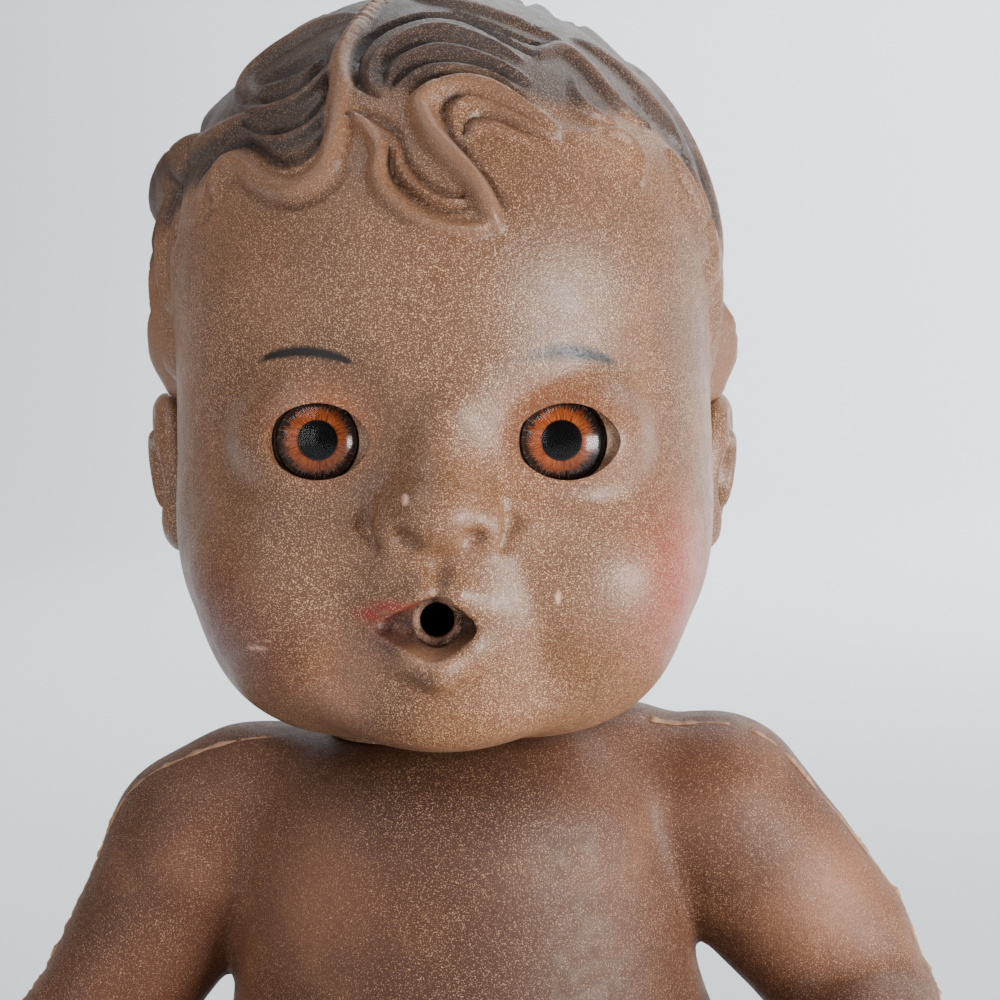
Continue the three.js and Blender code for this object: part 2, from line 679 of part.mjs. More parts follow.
const FACE_FOCUS = 0.45;
function headShell() {
  const outside = joined([
    solidOf(skinned(headForm, RAY_START, { counts: [14, 9, 14], focus: FACE_FOCUS })),
    ...hair().map(solidOf),
    solidOf(ear()),
    solidOf(mirrored(ear())),
  ]);
  const bosses = [placed(eyeBoss(), leftEye), placed(eyeBoss(), rightEye), placed(tubeBoss(), mouth)];
  const inside = solidOf(skinned(headForm, RAY_START, { counts: [5, 4, 5], depth: WALL }));
  const openings = [placed(tubeSeat(), mouth), solidOf(partedLips())];
  for (const eye of [leftEye, rightEye]) openings.push(placed(eyePocket(), eye), placed(lidOpening(), eye));
  const tilt = new THREE.Group();
  tilt.rotation.y = radians(HEAD_TILT);
  tilt.updateMatrix();
  const leaning = (solid) => solid.transform(tilt.matrix.elements);
  return leaning(outside)
    .add(solidOf(neckPlug()))
    .subtract(leaning(inside.subtract(joined(bosses))))
    .subtract(solidOf(neckBore()))
    .subtract(leaning(joined(openings)));
}

// Body: trunk, arms and legs in one moulding

const CHEST_HALF_HEIGHT = NECK_HEIGHT - CHEST_HEIGHT + 3;
const chest = ball(at(0, 0, CHEST_HEIGHT), at(CHEST_WIDTH / 2, CHEST_DEPTH / 2, CHEST_HALF_HEIGHT));
const belly = ball(at(0, -2, BELLY_HEIGHT), at(BELLY_WIDTH / 2, BELLY_DEPTH / 2, BELLY_HEIGHT + SEAT_CUT));
const neckBase = ball(at(0, 1, NECK_HEIGHT - 14), at(NECK_COLLAR + 13, NECK_COLLAR + 10, 18));
const buttock = ball(
  at(BUTTOCK_SPREAD, 12, BUTTOCK_RADIUS - SEAT_CUT),
  at(BUTTOCK_RADIUS, BUTTOCK_RADIUS + 1, BUTTOCK_RADIUS - 1),
);
const shoulderSlope = ball(at(NECK_COLLAR + 6, 3, NECK_HEIGHT - 12.5), at(15, 14, 14));
const torso = melted(10, chest, belly, neckBase);
const trunk = melted(5, melted(4, torso, onBothSides(buttock)), onBothSides(shoulderSlope));
const TRUNK_MIDDLE = at(0, -1, (CHEST_HEIGHT + BELLY_HEIGHT) / 2);

// A point at a distance from another: degrees to the doll's left of straight ahead, and degrees above level.
function onward(start, length, bearing, rise) {
  const [turn, lift] = [radians(bearing), radians(rise)];
  const direction = at(Math.sin(turn) * Math.cos(lift), -Math.cos(turn) * Math.cos(lift), Math.sin(lift));
  return start.clone().addScaledVector(direction, length);
}

const SHOULDER = at(SHOULDER_SPREAD, 2, SHOULDER_HEIGHT);
const ELBOW = onward(SHOULDER, UPPER_ARM_LENGTH, 76, UPPER_ARM_SPREAD - 90);
const WRIST = onward(ELBOW, FOREARM_LENGTH, -5, -FOREARM_DROP);
const PALM = onward(WRIST, PALM_LENGTH / 2, -10, 0);
const HIP = at(HIP_SPREAD, -6, HIP_RADIUS - SEAT_CUT / 2);
const KNEE = onward(HIP, THIGH_LENGTH, THIGH_SPLAY, 0);
KNEE.z = KNEE_RADIUS + SEAT_CUT;
const ANKLE = onward(KNEE, CALF_LENGTH, -CALF_RETURN, 0);
ANKLE.z = ANKLE_RADIUS + SEAT_CUT;
const HEEL = at(ANKLE.x, ANKLE.y - 4, FOOT_RADIUS - SEAT_CUT / 4);
const FOOT_BALL = onward(HEEL, FOOT_LENGTH - 2 * FOOT_RADIUS, -10, 90 - FOOT_LEAN);

// Limbs of the doll's left side. The yoke carries the shoulder's slope from the neck to the arm.
const yoke = {
  start: at(NECK_RADIUS * 0.7, 2, NECK_HEIGHT - 12.5),
  end: SHOULDER,
  radii: [SHOULDER_RADIUS - 0.5, SHOULDER_RADIUS],
};
const upperArm = {
  start: SHOULDER,
  end: ELBOW,
  radii: [SHOULDER_RADIUS, SHOULDER_RADIUS - 0.5, ELBOW_RADIUS + 1, ELBOW_RADIUS],
};
const forearm = {
  start: ELBOW,
  end: WRIST,
  radii: [ELBOW_RADIUS, ELBOW_RADIUS + 0.5, WRIST_RADIUS + 1.8, WRIST_RADIUS],
};
const thigh = {
  start: HIP,
  end: KNEE,
  radii: [HIP_RADIUS, HIP_RADIUS, KNEE_RADIUS + 3, KNEE_RADIUS],
  dome: 0.9,
};
const calf = {
  start: KNEE,
  end: ANKLE,
  radii: [KNEE_RADIUS, KNEE_RADIUS - 0.5, ANKLE_RADIUS + 2.5, ANKLE_RADIUS],
};
const foot = { start: HEEL, end: FOOT_BALL, radii: [FOOT_RADIUS, FOOT_RADIUS + 0.5, FOOT_RADIUS - 0.5] };
const HOLLOW_LIMBS = [upperArm, forearm, thigh, calf];

const FINGERS = 4;
const DIGIT_SIDES = 5;
function hand() {
  const palm = new THREE.SphereGeometry(0.5, 9, 6).scale(PALM_THICKNESS, PALM_LENGTH, PALM_WIDTH);
  const made = [palm.translate(...PALM.toArray())];
  const knuckles = onward(PALM, PALM_LENGTH * 0.32, -14, 0);
  const radii = [FINGER_RADIUS, FINGER_RADIUS * 0.8];
  const digit = (start, end) => made.push(limb({ start, end, radii }, DIGIT_SIDES));
  for (let i = 0; i < FINGERS; i += 1) {
    const rank = (FINGERS - 1) / 2 - i;
    const start = knuckles.clone().add(at(0, 0.6 * rank * rank, rank * FINGER_RADIUS * 1.35));
    digit(start, onward(start, FINGER_LENGTH, -22, 3 * rank - 8));
  }
  const thumb = onward(PALM, PALM_WIDTH * 0.4, -60, 60);
  digit(thumb, onward(thumb, FINGER_LENGTH * 0.7, -40, 25));
  return made;
}

const TOES = 5;
function toes() {
  const made = [];
  for (let i = 0; i < TOES; i += 1) {
    const across = (i - (TOES - 1) / 2) * TOE_RADIUS * 1.2;
    const radius = TOE_RADIUS * (1.2 - 0.1 * i);
    const rise = FOOT_RADIUS - TOE_RADIUS - 0.06 * across * across - 0.4 * i;
    const start = FOOT_BALL.clone().add(at(across, -1, rise));
    const end = onward(start, TOE_RADIUS * 0.6, 0, 60);
    made.push(limb({ start, end, radii: [radius, radius] }, DIGIT_SIDES));
  }
  return made;
}

// The neck's opening: a lip for the head's groove over a chamber for its flange, and a top that slopes up
// towards the shoulders.
const CHAMBER_RADIUS = FLANGE_RADIUS + 1.2;
const CHAMBER_DEPTH = NECK_LIP + NECK_FLANGE_HEIGHT + 8;
const LIP_TOP_RADIUS = NECK_COLLAR + 5;
const SLOPE_RADIUS = 2 * NECK_COLLAR;
const SLOPE_RISE = (SLOPE_RADIUS - LIP_TOP_RADIUS) * Math.tan(radians(NECK_SLOPE));
const ABOVE_NECK = 12;
const neckOpening = () =>
  turned(
    [
      [0, -CHAMBER_DEPTH],
      [CHAMBER_RADIUS, -CHAMBER_DEPTH],
      [CHAMBER_RADIUS, -NECK_LIP],
      [NECK_RADIUS + CLEARANCE, -NECK_LIP],
      [NECK_RADIUS + CLEARANCE, 0],
      [LIP_TOP_RADIUS, 0],
      [SLOPE_RADIUS, SLOPE_RISE],
      [SLOPE_RADIUS, ABOVE_NECK],
      [0, ABOVE_NECK],
    ],
    NECK_SEGMENTS,
  ).translate(0, 0, NECK_HEIGHT);

// The rubber that stays above the hollow of the body, so that the lip is whole.
const neckRoof = () =>
  turned(
    [
      [0, -NECK_LIP],
      [SLOPE_RADIUS, -NECK_LIP],
      [SLOPE_RADIUS, ABOVE_NECK],
      [0, ABOVE_NECK],
    ],
    NECK_SEGMENTS,
  ).translate(0, 0, NECK_HEIGHT);

function belowSeat() {
  const DEEP = 20;
  return new THREE.BoxGeometry(400, 500, DEEP).translate(0, 0, -DEEP / 2);
}

// Whistle in the back: its own frame has its face at the origin and +Z out of the back

const WHISTLE_SEGMENTS = 14;
const WHISTLE_FACE = leaves(trunk, at(0, 0, WHISTLE_HEIGHT), at(0, 1, 0));
const whistleFrame = new THREE.Group();
whistleFrame.position.copy(WHISTLE_FACE);
whistleFrame.rotation.set(-Math.PI / 2, 0, 0);

const WHISTLE_BORE = WHISTLE_RADIUS - WHISTLE_WALL;
const CAP_THICKNESS = 0.6;
const REED_SEAT = -WHISTLE_DEPTH / 2;
function whistleCup() {
  const step = WHISTLE_BORE - 1.2;
  const profile = [
    [WHISTLE_HOLE, -WHISTLE_DEPTH],
    [WHISTLE_RADIUS, -WHISTLE_DEPTH],
    [WHISTLE_RADIUS, -CAP_THICKNESS - CLEARANCE],
    [WHISTLE_RADIUS + WHISTLE_RIM, -CAP_THICKNESS - CLEARANCE],
    [WHISTLE_RADIUS + WHISTLE_RIM, 0],
    [WHISTLE_BORE, 0],
    [WHISTLE_BORE, REED_SEAT],
    [step, REED_SEAT],
    [step, -WHISTLE_DEPTH + WHISTLE_WALL],
    [WHISTLE_HOLE, -WHISTLE_DEPTH + WHISTLE_WALL],
  ];
  return turned(profile, WHISTLE_SEGMENTS);
}

const disc = (radius) => new THREE.Shape().absarc(0, 0, radius, 0, 2 * Math.PI);
function plate(shape, thickness) {
  return new THREE.ExtrudeGeometry(shape, { depth: thickness, bevelEnabled: false, curveSegments: 4 });
}

// A springy disc with a tongue cut free on three sides.
function whistleReed() {
  const shape = disc(WHISTLE_BORE - CLEARANCE);
  const slot = 0.5;
  const [half, end, root] = [REED_WIDTH / 2, REED_LENGTH / 2, -REED_LENGTH / 2];
  const cut = new THREE.Path([
    [half, root],
    [half + slot, root],
    [half + slot, end + slot],
    [-half - slot, end + slot],
    [-half - slot, root],
    [-half, root],
    [-half, end],
    [half, end],
  ].map(([x, y]) => new THREE.Vector2(x, y)));
  shape.holes.push(cut);
  return plate(shape, REED_THICKNESS).translate(0, 0, REED_SEAT + CLEARANCE);
}

const CAP_HOLES = 6;
function whistleCap() {
  const shape = disc(WHISTLE_BORE - CLEARANCE);
  const reach = WHISTLE_BORE * 0.55;
  for (let i = 0; i < CAP_HOLES; i += 1) {
    const turn = (2 * Math.PI * i) / CAP_HOLES;
    const [x, y] = [reach * Math.cos(turn), reach * Math.sin(turn)];
    shape.holes.push(new THREE.Path().absarc(x, y, WHISTLE_HOLE, 0, 2 * Math.PI));
  }
  return plate(shape, CAP_THICKNESS).translate(0, 0, -CAP_THICKNESS);
}

const whistleSeat = () =>
  turned(
    [
      [0, -WHISTLE_DEPTH - WALL - 4],
      [WHISTLE_RADIUS + CLEARANCE, -WHISTLE_DEPTH - WALL - 4],
      [WHISTLE_RADIUS + CLEARANCE, -CAP_THICKNESS - 2 * CLEARANCE],
      [WHISTLE_RADIUS + WHISTLE_RIM + CLEARANCE, -CAP_THICKNESS - 2 * CLEARANCE],
      [WHISTLE_RADIUS + WHISTLE_RIM + CLEARANCE, 4],
      [0, 4],
    ],
    WHISTLE_SEGMENTS,
  );
const whistleBoss = () =>
  turned(
    [
      [0, -WHISTLE_DEPTH],
      [WHISTLE_RADIUS + WALL, -WHISTLE_DEPTH],
      [WHISTLE_RADIUS + WALL, 0],
      [0, 0],
    ],
    WHISTLE_SEGMENTS,
  );

// Drain eyelet between the legs: +Z of its frame points out of the body

const DRAIN_SEGMENTS = 12;
const DRAIN_FACE = leaves(trunk, at(0, 0, DRAIN_HEIGHT), at(0, -1, 0));
const drainFrame = new THREE.Group();
drainFrame.position.copy(DRAIN_FACE);
drainFrame.rotation.set(Math.PI / 2, 0, 0);

const DRAIN_RADIUS = DRAIN_BORE / 2 + DRAIN_WALL;
const DRAIN_LENGTH = WALL + 1.5;
function drainEyelet() {
  const profile = [
    [DRAIN_BORE / 2, -DRAIN_LENGTH],
    [DRAIN_RADIUS, -DRAIN_LENGTH],
    [DRAIN_RADIUS, CLEARANCE],
    [DRAIN_RADIUS + DRAIN_RIM, CLEARANCE],
    [DRAIN_RADIUS + DRAIN_RIM, CLEARANCE + DRAIN_WALL],
    [DRAIN_BORE / 2, CLEARANCE + DRAIN_WALL],
  ];
  return turned(profile, DRAIN_SEGMENTS);
}

const drainSeat = () =>
  turned(
    [
      [0, -DRAIN_LENGTH - 4],
      [DRAIN_RADIUS + CLEARANCE, -DRAIN_LENGTH - 4],
      [DRAIN_RADIUS + CLEARANCE, 0],
      [DRAIN_RADIUS + DRAIN_RIM + CLEARANCE, 0],
      [DRAIN_RADIUS + DRAIN_RIM + CLEARANCE, 4],
      [0, 4],
    ],
    DRAIN_SEGMENTS,
  );

const bothSides = (geometries) => geometries.flatMap((one) => [solidOf(one), solidOf(mirrored(one))]);

function bodyShell() {
  const outerLimbs = [yoke, ...HOLLOW_LIMBS, foot].map((one) => limb(one, 10));
  const outside = joined([
    solidOf(skinned(trunk, TRUNK_MIDDLE, { counts: [10, 8, 10] })),
    ...bothSides([...outerLimbs, ...hand(), ...toes()]),
  ]);
  const innerLimbs = HOLLOW_LIMBS.map(({ start, end, radii }) =>
    limb({ start, end, radii: [radii[0], radii.at(-1)] }, 5, WALL),
  );
  const hollow = skinned(trunk, TRUNK_MIDDLE, { counts: [5, 4, 5], depth: WALL });
  const inside = joined([solidOf(hollow), ...bothSides(innerLimbs)]);
  const floor = solidOf(belowSeat());
  const cavity = inside
    .subtract(floor.translate([0, 0, WALL]))
    .subtract(solidOf(neckRoof()))
    .subtract(placed(whistleBoss(), whistleFrame));
  return outside
    .subtract(floor)
    .subtract(cavity)
    .subtract(solidOf(neckOpening()))
    .subtract(placed(whistleSeat(), whistleFrame))
    .subtract(placed(drainSeat(), drainFrame));
}

// Assembly

const doll = new THREE.Group();
const headGroup = new THREE.Group();
headGroup.position.z = NECK_HEIGHT;
const leaningGroup = new THREE.Group();
leaningGroup.rotation.y = radians(HEAD_TILT);
headGroup.add(mesh("head_shell", geometryOf(headShell()), BROWN_RUBBER), leaningGroup);
for (const [side, frame] of [["left", leftEye], ["right", rightEye]]) {
  frame.add(
    mesh(`${side}_eye_cup`, eyeCup(), BLACK_ACETATE),
    mesh(`${side}_iris`, iris(), AMBER_PRINT),
    mesh(`${side}_pupil`, pupil(), BLACK_ACETATE),
    mesh(`${side}_eye_lens`, lens(), CLEAR_ACETATE),
  );
  leaningGroup.add(frame);
}
mouth.add(mesh("drinking_tube", drinkingTube(), PALE_RUBBER));
leaningGroup.add(mouth);
whistleFrame.add(
  mesh("whistle_cup", whistleCup(), TINNED_STEEL),
  mesh("whistle_reed", whistleReed(), BRASS),
  mesh("whistle_cap", whistleCap(), TINNED_STEEL),
);
drainFrame.add(mesh("drain_eyelet", drainEyelet(), BRASS));
doll.add(mesh("body_shell", geometryOf(bodyShell()), BROWN_RUBBER), headGroup, whistleFrame, drainFrame);

export default doll;
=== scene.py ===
"""Looks of a hollow rubber baby doll: speckled skin, moulded wavy hair, inset eyes and a drinking mouth."""
import json
import math

import bmesh
import bpy
import numpy as np
from mathutils import Matrix, Vector


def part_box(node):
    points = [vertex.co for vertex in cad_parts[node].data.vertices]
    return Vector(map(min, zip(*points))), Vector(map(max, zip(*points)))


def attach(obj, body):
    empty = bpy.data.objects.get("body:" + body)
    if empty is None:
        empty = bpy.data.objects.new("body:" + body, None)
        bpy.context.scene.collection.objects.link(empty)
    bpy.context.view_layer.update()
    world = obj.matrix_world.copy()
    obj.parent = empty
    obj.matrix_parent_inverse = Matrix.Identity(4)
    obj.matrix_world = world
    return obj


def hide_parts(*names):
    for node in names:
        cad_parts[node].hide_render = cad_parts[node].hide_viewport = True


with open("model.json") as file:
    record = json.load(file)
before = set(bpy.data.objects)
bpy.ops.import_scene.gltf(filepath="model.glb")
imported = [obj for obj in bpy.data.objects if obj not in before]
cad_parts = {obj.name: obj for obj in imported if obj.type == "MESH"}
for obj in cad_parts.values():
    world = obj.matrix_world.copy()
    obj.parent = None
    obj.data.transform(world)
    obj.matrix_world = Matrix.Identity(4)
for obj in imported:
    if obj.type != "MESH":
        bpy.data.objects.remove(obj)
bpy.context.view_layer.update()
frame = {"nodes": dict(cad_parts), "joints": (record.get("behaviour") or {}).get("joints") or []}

bl_info = {
    "name": "Rubber Baby Doll",
    "version": (1, 0, 0),
    "blender": (4, 5, 0),
    "location": "View3D > Sidebar > Doll",
    "description": "Builds a moulded rubber baby doll with a turning head around its measured frame",
    "category": "Object",
}

MM = 0.001
SIDES = {"left": 1, "right": -1}
NECK_HEIGHT = frame["joints"][0]["pos_m"][2] / MM
HEAD_LEAN = math.radians(4)

# Forms are modelled in millimetres. The head's stand upright on its neck joint, and lean once placed.
BODY_PLACE = Matrix.Scale(MM, 4)
NECK = Matrix.Translation((0, 0, NECK_HEIGHT * MM))
LEANING_NECK = NECK @ Matrix.Rotation(HEAD_LEAN, 4, "Y")
HEAD_PLACE = LEANING_NECK @ BODY_PLACE
NECK_PLACE = NECK @ BODY_PLACE


def vec(*numbers):
    return np.array(numbers, dtype=float)


def unit(vectors):
    return vectors / np.linalg.norm(vectors, axis=-1, keepdims=True)


def smooth(low, high, value):
    """Eases from 0 at low to 1 at high."""
    t = np.clip((value - low) / (high - low), 0, 1)
    return t * t * (3 - 2 * t)


def bearing(turn, rise):
    """Direction at degrees to the doll's left of straight ahead and degrees above level."""
    turn, rise = np.radians(turn), np.radians(rise)
    flat = np.cos(rise)
    return np.stack([np.sin(turn) * flat, -np.cos(turn) * flat, np.sin(rise) + 0 * turn], axis=-1)


def turn_and_rise(directions):
    """Degrees to the doll's left of straight ahead, and degrees above level, of directions."""
    x, y, z = np.moveaxis(directions, -1, 0)
    return np.degrees(np.arctan2(x, -y)), np.degrees(np.arcsin(np.clip(z, -1, 1)))


def onward(start, length, turn, rise):
    return start + length * bearing(turn, rise)


# Soft forms: each is a field of points, negative inside, that melts into its neighbours

CREASE_WIDTH = 0.06


def ball(points, centre, radii):
    radii = np.asarray(radii, dtype=float)
    scaled = (points - centre) / radii
    reach = np.sqrt((scaled ** 2).sum(axis=-1))
    slope = np.sqrt(((scaled / radii) ** 2).sum(axis=-1))
    return reach * (reach - 1) / np.maximum(slope, 1e-9)


def limb(points, start, end, radii, creases=()):
    """A limb that swells through evenly spaced radii, with a soft groove round it at each crease."""
    axis = end - start
    along = np.clip((points - start) @ axis / (axis @ axis), 0, 1)
    stations = np.linspace(0, 1, len(radii))
    radius = np.interp(along, stations, radii)
    for place, depth in creases:
        radius -= depth * np.exp(-((along - place) / CREASE_WIDTH) ** 2)
    nearest = start + along[..., None] * axis
    return np.sqrt(((points - nearest) ** 2).sum(axis=-1)) - radius


def melt(width, *fields):
    """Joins fields, with a fillet of a width where they meet."""
    total = fields[0]
    for field in fields[1:]:
        share = np.maximum(width - np.abs(total - field), 0) / width
        total = np.minimum(total, field) - share ** 2 * width / 4
    return total


def hollow(width, field, *cuts):
    """Cuts fields out of a field, with edges rounded over a width."""
    for cut in cuts:
        field = -melt(width, -field, cut)
    return field


def on_left(points):
    """The points folded over to the doll's left side."""
    return points * vec(1, 0, 0) * np.sign(points[..., :1] + 1e-12) + points * vec(0, 1, 1)


# Head forms

EYE = vec(17.3, -41.1, 48.0)
EYE_TURN = math.radians(5)
LENS_RADIUS = 6.0
LENS_RISE = 2.6
LENS_INSET = 0.3
CUP_RADIUS = 6.7
CUP_DEPTH = 5.5
FIT_GAP = 0.3
MOUTH = vec(-0.3, -44.0, 23.0)
NOSE_HEIGHT = 38.4
EAR_RADII = (3.9, 7.9, 12.2)
WALL = 2.6
HEAD_MIDDLE = vec(0, 2, 66)


def head_form(points):
    side = on_left(points)
    skull = ball(points, vec(-0.6, 2, 71), (43.2, 48.6, 44.4))
    face = ball(points, vec(0, -6, 41), (41.6, 40.5, 35))
    jaw = ball(points, vec(0, -13, 27), (38.5, 32.5, 25.4))
    nape = ball(points, vec(0, 12, 22), (28, 24, 20))
    jowls = ball(side, vec(15.0, -19, 17.0), (19.2, 18, 14.6))
    cheeks = ball(side, vec(21, -29, 27), (14, 15, 14))
    chin = ball(points, vec(0, -34.6, 11.2), (15, 9.4, 8.6))
    muzzle = ball(points, vec(0, -37.5, 24), (12.5, 10.6, 12))
    sockets = ball(side, vec(17.3, -49.5, 49), (11.5, 7, 9))
    lids = ball(side, vec(17.6, -34, 48), (12.4, 10.6, 10.2))
    head = melt(5, melt(10, skull, face, jaw, nape), jowls)
    head = melt(7, head, cheeks, chin, muzzle)
    head = melt(2.5, hollow(5, head, sockets), lids)
    head = nose_form(points, side, head + furrows(side))
    return hollow(1.0, lips_form(side, head), mouth_form(points))


def furrows(side):
    """Depth of the folds from the nose past the corners of the mouth, and of the hollow above the lip."""
    x, y, z = np.moveaxis(side, -1, 0)
    fold = np.exp(-((x - np.interp(z, (8, 14, 22, 33), (10.5, 14.5, 14, 10.5))) / 2.8) ** 2)
    fold = 0.5 * fold * smooth(5, 13, z) * smooth(37, 30, z)
    philtrum = 0.7 * np.exp(-(x / 1.6) ** 2) * smooth(26, 28.5, z) * smooth(35, 32, z)
    return np.maximum(fold, philtrum) * smooth(-22, -32, y)


def nose_form(points, side, head):
    """A broad button nose, with a crease round each wing and shallow nostrils."""
    tip = ball(points, vec(0, -47, NOSE_HEIGHT), (6.6, 6.2, 5.2))
    wings = ball(side, vec(6.4, -45, NOSE_HEIGHT - 1.6), (3.1, 4.6, 3.8))
    bridge = limb(points, vec(0, -43.6, NOSE_HEIGHT + 13), vec(0, -45, NOSE_HEIGHT + 3), (3.2, 4.8))
    bend = vec(10.1, -46.3, NOSE_HEIGHT - 1.4)
    crease = melt(1, limb(side, vec(9.5, -46.9, NOSE_HEIGHT + 0.8), bend, (0.4, 0.9)),
                  limb(side, bend, vec(8.9, -46.8, NOSE_HEIGHT - 4.6), (0.9, 0.4)))
    nostrils = ball(side, vec(4.9, -50.4, NOSE_HEIGHT - 3.4), (1.9, 2.1, 1.4))
    head = melt(2.5, head, melt(3, tip, bridge))
    head = hollow(1.8, melt(2.4, head, wings), crease)
    return hollow(1.2, head, nostrils)


def lips_form(side, head):
    upper = limb(side, vec(2.2, -47.9, MOUTH[2] + 4.3), vec(9.6, -43.9, MOUTH[2] + 0.6), (2.6, 2.4, 1.2))
    lower = limb(side, vec(0, -46.9, MOUTH[2] - 6.4), vec(8.4, -43.8, MOUTH[2] - 0.8), (3.1, 2.9, 1.3))
    return melt(1.7, head, upper, lower)


def mouth_form(points):
    """The parted lips: a funnel down to the tube, longer towards the doll's right."""
    middle = MOUTH + vec(-0.5, -5.0, -0.5)
    right = limb(points, middle, middle + vec(-6.8, 3.4, 0), (4.2, 3.0, 1.5))
    left = limb(points, middle, middle + vec(6.0, 3.4, 0), (4.2, 3.0, 1.4))
    return melt(1, left, right)


def ear_form(points):
    """An ear with its back to the head: a rolled rim, a groove inside it, a bowl and a lobe."""
    x, y, z = np.moveaxis(points, -1, 0)
    shell = ball(points, vec(0, 0, 0), EAR_RADII)
    lobe = ball(points, vec(0.2, -2.4, -8.8), (3.0, 4.6, 4.8))
    reach = np.sqrt((y / EAR_RADII[1]) ** 2 + (z / EAR_RADII[2]) ** 2)
    groove = np.sqrt(((reach - 0.67) * 8.5) ** 2 + (x - 3.2) ** 2) - 1.3 + np.clip(-2 - y, 0, 3)
    bowl = ball(points, vec(4.6, -1.6, -1.0), (4.4, 3.9, 5.6))
    return hollow(1.2, hollow(0.8, melt(2, shell, lobe), groove), bowl)


# Hair

HAIR_RADIUS = 49.0
HAIR_MASS = 0.5
PATH_STEPS = 90
WHORL_STRANDS = 24
WHORL_STEPS = 9
WHORL_SEED = 11
# In degrees: the hairline's sway behind, the whorl's heart, and bearings of the whorl and the front hair
TIP_LENGTH = 2.4
WHORL_HEART = 5
WHORL = (178.0, 58.0)
FRONT_LOOK = (-2.0, 26.0)


class Strand:
    """A moulded ridge, or a groove where its height is negative, along bearings from the head's middle.

    The route lists degrees to the doll's left and above level. Bare strands keep the rubber's colour.
    """

    def __init__(self, width, height, route, bare=False, blunt=0.4, section=1.4):
        self.width, self.height, self.route = width, height, route
        self.bare, self.blunt, self.section = bare, blunt, section

    def path(self):
        """Directions along a smooth curve through the bearings of the route."""
        knots = bearing(*np.array(self.route, dtype=float).T)
        padded = np.vstack([2 * knots[0] - knots[1], knots, 2 * knots[-1] - knots[-2]])
        samples = []
        for place in np.linspace(0, len(knots) - 1.0001, PATH_STEPS):
            i, t = int(place), place % 1
            a, b, c, d = padded[i:i + 4]
            square = 2 * a - 5 * b + 4 * c - d
            cube = 3 * b - a - 3 * c + d
            samples.append(2 * b + (c - a) * t + square * t ** 2 + cube * t ** 3)
        return unit(np.array(samples))

    def profile(self, away):
        """The points near the strand, and the height of its section there as a share of the whole."""
        path = self.path()
        middle = path[PATH_STEPS // 2]
        reach = np.arccos(np.clip(path @ middle, -1, 1)).max() + 1.5 * self.width / HAIR_RADIUS
        near = np.nonzero(away @ middle > math.cos(min(reach, math.pi)))[0]
        if not len(near):
            return near, np.zeros(0)
        cosines = away[near] @ path.T
        along = cosines.argmax(axis=1) / (PATH_STEPS - 1)
        distance = np.arccos(np.clip(cosines.max(axis=1), -1, 1)) * HAIR_RADIUS
        swell = self.blunt + (1 - self.blunt) * np.sqrt(np.sin(np.pi * np.clip(along, 0.001, 0.999)))
        share = np.clip(distance / (self.width * swell), 0, 1)
        return near, swell * (1 - share ** 2) ** self.section


